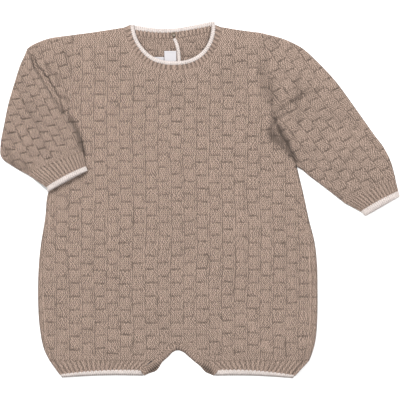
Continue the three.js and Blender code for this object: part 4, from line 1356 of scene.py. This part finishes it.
def cuff_ring(node, lines, base, loft, ribs, pitch, relief, yarn=taupe, bow=0.0):
    """A flattened tube between lines across the sleeve, open at its end."""
    per = 6
    half = ribs * per
    top_share = 0.5 - 0.5 * np.cos(np.linspace(0, math.pi, half + 1))
    top_share = 0.35 * top_share + 0.65 * np.linspace(0, 1, half + 1)
    around = np.concatenate([top_share, top_share[::-1][1:-1]])
    upper = np.concatenate([np.ones(half + 1), -np.ones(half - 1)])
    run = np.arange(len(around)) / per * pitch + pitch / 2
    crown = np.sqrt(np.maximum(0, 1 - np.abs(2 * around - 1) ** 5))
    full = 2 * CLOTH + LAYER_GAP + 0.4
    outer, inner = [], []
    across = np.subtract(lines[0][0][:2], lines[-1][0][:2])
    across = across / np.linalg.norm(across)
    for line, swell, depth in lines:
        at = between(line, around) + across * bow * np.sin(math.pi * around)[:, None]
        lift = loft * np.sin(math.pi * around)
        z_top = full * (0.5 + 0.5 * crown) + lift * crown + swell * crown
        z = np.where(upper > 0, z_top, full * (0.5 - 0.5 * crown))
        side = np.sign(0.5 - around)[:, None] * (1 - crown)[:, None]
        axis = np.subtract(line[2:], line[:2])
        axis = axis / np.linalg.norm(axis)
        lie = np.column_stack([run, np.full(len(run), depth), 0.35 + 0.65 * crown])
        out = np.column_stack([-side * axis[None], upper * crown + 1e-3])
        outer.append((np.column_stack([at, base(at) + z]), lie, out))
        shrunk = between(line, 0.04 + 0.92 * around)
        room = (full * 0.5 - 1.5) * crown
        z_in = full * 0.5 + np.where(upper > 0, room + 0.9 * lift * crown, -room)
        inner.append((np.column_stack([shrunk, base(shrunk) + z_in]), lie * [1, 1, 0], np.zeros(out.shape)))
    sections, knit, out = (np.stack(rings) for rings in zip(*outer, *inner[::-1]))
    points, faces = swept(sections, round_again=True)
    piece = outward(new_piece(f"romper_{node}", points, faces, knit.reshape(-1, 3), out.reshape(-1, 3)))
    rib_worked(piece, node, yarn, pitch / 1000, relief)


def cuff_lines(start, stop, depth, shares, swell):
    """Lines across a cuff at shares of the way from one to another, with the swell and the depth of each."""
    return [
        (tuple((1 - s) * p + s * q for p, q in zip(start, stop)), height, depth * s)
        for s, height in zip(shares, swell)
    ]


def make_cuffs(sizes):
    """Both cuffs, each with the edging at its open end."""
    for side, shape, base, ribs, over in (
        ("right", CUFF_RIGHT, on_table, 16, 0.18),
        ("left", CUFF_LEFT, sleeve_base, 17, 0.3),
    ):
        shares = [-0.03, 0.0, 0.1, 0.3, 0.5, 0.7, 0.9, 0.97, 1 - SEAM_GAP / 2 / CUFF_DEPTH]
        swell = [-0.2, 0.0, 0.05, 0.1, 0.15, 0.1, 0, -0.15, -0.4]
        lines = cuff_lines(shape["top"], shape["foot"], CUFF_DEPTH, shares, swell)
        loft = CUFF_LOFT[side]
        cuff_ring(f"cuff_{side}", lines, base, loft, ribs, sizes.rib_pitch * 1000, 0.7 * sizes.rib_relief)
        shares = [-over, 0.1 - over, 0.2, 0.5, 0.75, 0.93, 1.0]
        swell = [-0.2, 0.2, 0.55, 0.7, 0.5, 0.1, -0.7]
        lines = cuff_lines(shape["foot"], shape["end"], TIP_WIDTH, shares, swell)
        cuff_ring(
            f"cuff_tip_{side}", lines, base, loft * 0.85, 24, sizes.edge_stitch * 1000, sizes.edge_relief,
            cream, bow=1.2,
        )


# Trims


def make_placket():
    """The cream edging beside the opening in the back of the neck."""
    path = spaced(curve(PLACKET), 0.5)
    band(
        "placket_tip", beside(path, -1.7), beside(path, 1.7), everywhere(CLOTH + LAYER_GAP), 1.0,
        run_of(path), 0.0017, 0.0003, cream, arch=0.5,
    )


def make_label(node, left, right, top, foot, material):
    """A blank woven label, slightly curled, with a small rise near its top end."""
    across, along = 24, 30
    grid_u, grid_v = np.meshgrid(np.linspace(0, 1, across), np.linspace(0, 1, along))
    x = left + 0.1 + (right - left - 0.2) * grid_u + 0.15 * np.sin(3 * grid_v)
    y = foot + (top - foot - 0.1) * grid_v
    z = CLOTH + LAYER_GAP + 0.08 + 0.18 * np.sin(math.pi * grid_u) + 0.1 * np.sin(5 * grid_v + 2 * grid_u)
    z += 0.14 * np.exp(-(((1 - grid_v) * (top - foot) - 0.9) ** 2) / 0.3)
    grid = np.arange(across * along).reshape(along, across)
    faces = np.stack([grid[:-1, :-1], grid[:-1, 1:], grid[1:, 1:], grid[1:, :-1]], axis=2).reshape(-1, 4)
    piece = new_piece(f"romper_{node}", np.stack([x, y, z], axis=2).reshape(-1, 3), faces)
    solid = piece.modifiers.new("thickness", "SOLIDIFY")
    solid.thickness = 0.00022
    solid.offset = 1
    piece.data.materials.append(material)
    settle(applied(piece), node)


def make_button(material):
    """A small button, sewn on with a few turns of thread."""
    level = CLOTH + 0.6 + LAYER_GAP
    count = 40
    angle = np.linspace(0, 2 * math.pi, count, endpoint=False)
    across, along = np.cos(angle), np.sin(angle)
    rings = [np.column_stack([r * across, r * along, np.full(count, z)]) for r, z in BUTTON_PROFILE[1:-1]]
    points = np.vstack([[[0, 0, BUTTON_PROFILE[0][1]]], *rings, [[0, 0, BUTTON_PROFILE[-1][1]]]])
    faces = []
    for i in range(count):
        j = (i + 1) % count
        faces.append((0, 1 + j, 1 + i))
        for k in range(len(rings) - 1):
            a = 1 + k * count
            faces.append((a + i, a + j, a + count + j, a + count + i))
        last = 1 + (len(rings) - 1) * count
        faces.append((last + i, last + j, len(points) - 1))
    points += [*BUTTON_CENTRE, level]
    piece = outward(new_piece("romper_neck_button", points, faces))
    piece.data.materials.append(material)
    settle(piece, "neck_button")
    line = [(BUTTON_CENTRE[0] + reach, BUTTON_CENTRE[1], level + 0.62) for reach in (-0.5, 0.5)]
    stitch_line("romper_button_thread", line, 0.0005, 0.001, 0.0004)


def stitch_line(name, points, spacing, length, width):
    """A row of stitches of the main yarn along a line of points."""
    mesh = new_mesh(name, points, [(i, i + 1) for i in range(len(points) - 1)], [])
    piece = new_object(name, mesh)
    worked(piece, "Seam stitches", taupe(), spacing=spacing, stitch_length=length, stitch_width=width)
    settle(piece)


def make_seam_stitches():
    """The linking stitches that join the sides and the neck band."""
    for name, path, level in (
        ("romper_seam_side_right", spaced(WRAP_RIGHT, 1.5)[2:-2], 3.8),
        ("romper_seam_side_left", spaced(WRAP_LEFT, 1.5)[2:-2], 3.8),
        ("romper_seam_neck", front_neck(NECK["rib"] + SEAM_GAP, 110)[4:-4], 5.0),
    ):
        stitch_line(name, np.column_stack([path, np.full(len(path), level)]), 0.0021, 0.0022, 0.0011)


# Settings


def size_setting(label, description, default, least=0.0):
    return bpy.props.FloatProperty(
        name=label, description=description, default=default, min=least, subtype="DISTANCE"
    )


def colour_setting(label, description, default):
    return bpy.props.FloatVectorProperty(
        name=label, description=description, default=default, min=0, max=1, subtype="COLOR"
    )


class RomperSizes(bpy.types.PropertyGroup):
    """Sizes of the knit."""

    block_width: size_setting("Block Width", "Width of one knitted block", 0.0134, 0.004)
    block_height: size_setting("Block Height", "Height of one knitted block", 0.0141, 0.004)
    furrow_depth: size_setting("Furrow Depth", "Depth of the furrows round the blocks", 0.0009)
    crown: size_setting("Crown", "How far the middle of a block stands up", 0.0004)
    rib_pitch: size_setting("Rib Pitch", "Distance from rib to rib", 0.0042, 0.001)
    rib_relief: size_setting("Rib Relief", "Depth between two ribs", 0.0011)
    edge_stitch: size_setting("Edge Stitch", "Length of one stitch of the edging", 0.0021, 0.001)
    edge_relief: size_setting("Edge Relief", "Depth between two stitches of the edging", 0.0004)
    wander: bpy.props.FloatProperty(
        name="Wander", description="How unevenly the columns and rows lie", default=1.0, min=0, max=2
    )


class RomperColours(bpy.types.PropertyGroup):
    """Colours of the yarns and trims."""

    taupe: colour_setting("Taupe", "Main yarn", (0.2, 0.147, 0.1185))
    cream: colour_setting("Cream", "Yarn of the edgings", (0.405, 0.359, 0.338))
    label: colour_setting("Label", "Woven label", (0.375, 0.36, 0.375))
    button: colour_setting("Button", "Horn of the neck button", (0.075, 0.055, 0.035))
    floor: colour_setting("Floor", "Floor under the romper", (0.9, 0.9, 0.9))
    # Furrow Shade is how dark the painted shade in the furrows is.
    furrow_shade: bpy.props.FloatProperty(
        name="Furrow Shade", description="How much darker the furrows are", default=0.75, min=0, max=1,
        subtype="FACTOR",
    )


# Operators


def parts_of(piece):
    """The pieces that are sewn to one: their names begin with its name."""
    return [o for o in bpy.data.objects if o.name.startswith(piece.name + "_")]


class Step:
    """What the steps have in common."""

    def execute(self, context):
        self.make(context.scene.romper_sizes, context.scene.romper_colours)
        return {"FINISHED"}


class ROMPER_OT_bands(Step, bpy.types.Operator):
    """Makes the neck, leg and inseam bands with their edgings"""

    bl_idname = "romper.bands"
    bl_label = "Bands"

    def make(self, sizes, colours):
        make_neck_bands(sizes)
        make_leg_bands(sizes)
        make_inseam_bands(sizes)


class ROMPER_OT_cuffs(Step, bpy.types.Operator):
    """Makes the ribbed cuffs with their edgings"""

    bl_idname = "romper.cuffs"
    bl_label = "Cuffs"

    def make(self, sizes, colours):
        make_cuffs(sizes)


class ROMPER_OT_front(Step, bpy.types.Operator):
    """Makes the front panel"""

    bl_idname = "romper.front"
    bl_label = "Front"

    def make(self, sizes, colours):
        piece = settle(make_front(sizes), "front_panel")
        parts_of(piece)


class ROMPER_OT_back(Step, bpy.types.Operator):
    """Makes the back panel, whose sides turn over to the front"""

    bl_idname = "romper.back"
    bl_label = "Back"

    def make(self, sizes, colours):
        piece = settle(make_back(sizes), "back_panel")
        parts_of(piece)


class ROMPER_OT_sleeves(Step, bpy.types.Operator):
    """Makes both sleeves: one lies out, the other is turned down over the body"""

    bl_idname = "romper.sleeves"
    bl_label = "Sleeves"

    def make(self, sizes, colours):
        right = settle(make_sleeve_right(sizes), "sleeve_right")
        left = settle(make_sleeve_left(sizes), "sleeve_left")


class ROMPER_OT_trims(Step, bpy.types.Operator):
    """Makes the edging of the back opening, the labels and the button"""

    bl_idname = "romper.trims"
    bl_label = "Trims"

    def make(self, sizes, colours):
        make_placket()
        satin = material_of("white label satin", woven, colours.label)
        for node, box in LABELS.items():
            make_label(node, *box, satin)
        make_button(material_of("dark horn", horn, colours.button))


class ROMPER_OT_stitches(Step, bpy.types.Operator):
    """Makes the linking stitches along the seams"""

    bl_idname = "romper.stitches"
    bl_label = "Seam Stitches"

    def make(self, sizes, colours):
        make_seam_stitches()


class ROMPER_OT_stage(Step, bpy.types.Operator):
    """Makes the floor, the lights and the camera"""

    bl_idname = "romper.stage"
    bl_label = "Stage"

    def make(self, sizes, colours):
        make_stage(colours)


def make_stage(colours):
    """A plain pale floor, soft lights and a camera straight above."""
    mesh = bpy.data.meshes.new("floor")
    mesh.from_pydata([(-4, -4, 0), (4, -4, 0), (4, 4, 0), (-4, 4, 0)], [], [(0, 1, 2, 3)])
    floor = new_object("floor", mesh)
    paint = bpy.data.materials.new("plain floor")
    paint.use_nodes = True
    shader = paint.node_tree.nodes["Principled BSDF"]
    shader.inputs["Base Color"].default_value = (*colours.floor, 1)
    shader.inputs["Roughness"].default_value = 0.9
    mesh.materials.append(paint)

    world = bpy.data.worlds.new("soft room")
    world.use_nodes = True
    world.node_tree.nodes["Background"].inputs["Color"].default_value = (1, 1, 1, 1)
    world.node_tree.nodes["Background"].inputs["Strength"].default_value = 0.88
    bpy.context.scene.world = world
    bpy.context.scene.view_settings.view_transform = "Standard"
    for name, place, size, power in (
        ("key light", (-0.9, 1.5, 2.0), 0.9, 94),
        ("fill light", (1.4, 0.2, 2.0), 1.6, 34),
    ):
        light = bpy.data.lights.new(name, "AREA")
        light.size = size
        light.energy = power
        holder = new_object(name, light)
        holder.location = place
        holder.rotation_euler = (-Vector(place)).to_track_quat("-Z", "Y").to_euler()

    camera = bpy.data.cameras.new("camera")
    distance, shown = 2.4, 0.42
    camera.sensor_width = 36
    camera.lens = 36 * distance / shown
    camera.clip_end = 20
    holder = new_object("camera", camera)
    centre = CAMERA_CENTRE + SHIFT
    holder.location = (centre[0] / 1000, centre[1] / 1000, distance + 0.004)
    bpy.context.scene.camera = holder


class ROMPER_PT_panel(bpy.types.Panel):
    """Lists the steps that make the romper"""

    bl_idname = "ROMPER_PT_panel"
    bl_label = "Knitted Romper"
    bl_space_type = "VIEW_3D"
    bl_region_type = "UI"
    bl_category = "Romper"

    def draw(self, context):
        layout = self.layout
        for step in STEPS:
            layout.operator(step.bl_idname)
        for settings in (context.scene.romper_sizes, context.scene.romper_colours):
            box = layout.box()
            for key in settings.__annotations__:
                box.prop(settings, key)


STEPS = (
    ROMPER_OT_bands,
    ROMPER_OT_cuffs,
    ROMPER_OT_back,
    ROMPER_OT_front,
    ROMPER_OT_sleeves,
    ROMPER_OT_trims,
    ROMPER_OT_stitches,
    ROMPER_OT_stage,
)
CLASSES = (RomperSizes, RomperColours, *STEPS, ROMPER_PT_panel)


def register():
    for cls in CLASSES:
        bpy.utils.register_class(cls)
    bpy.types.Scene.romper_sizes = bpy.props.PointerProperty(type=RomperSizes)
    bpy.types.Scene.romper_colours = bpy.props.PointerProperty(type=RomperColours)


def unregister():
    del bpy.types.Scene.romper_colours
    del bpy.types.Scene.romper_sizes
    for cls in reversed(CLASSES):
        bpy.utils.unregister_class(cls)


def main():
    register()
    for step in STEPS:
        group, name = step.bl_idname.split(".")
        getattr(getattr(bpy.ops, group), name)()


if __name__ == "__main__":
    main()
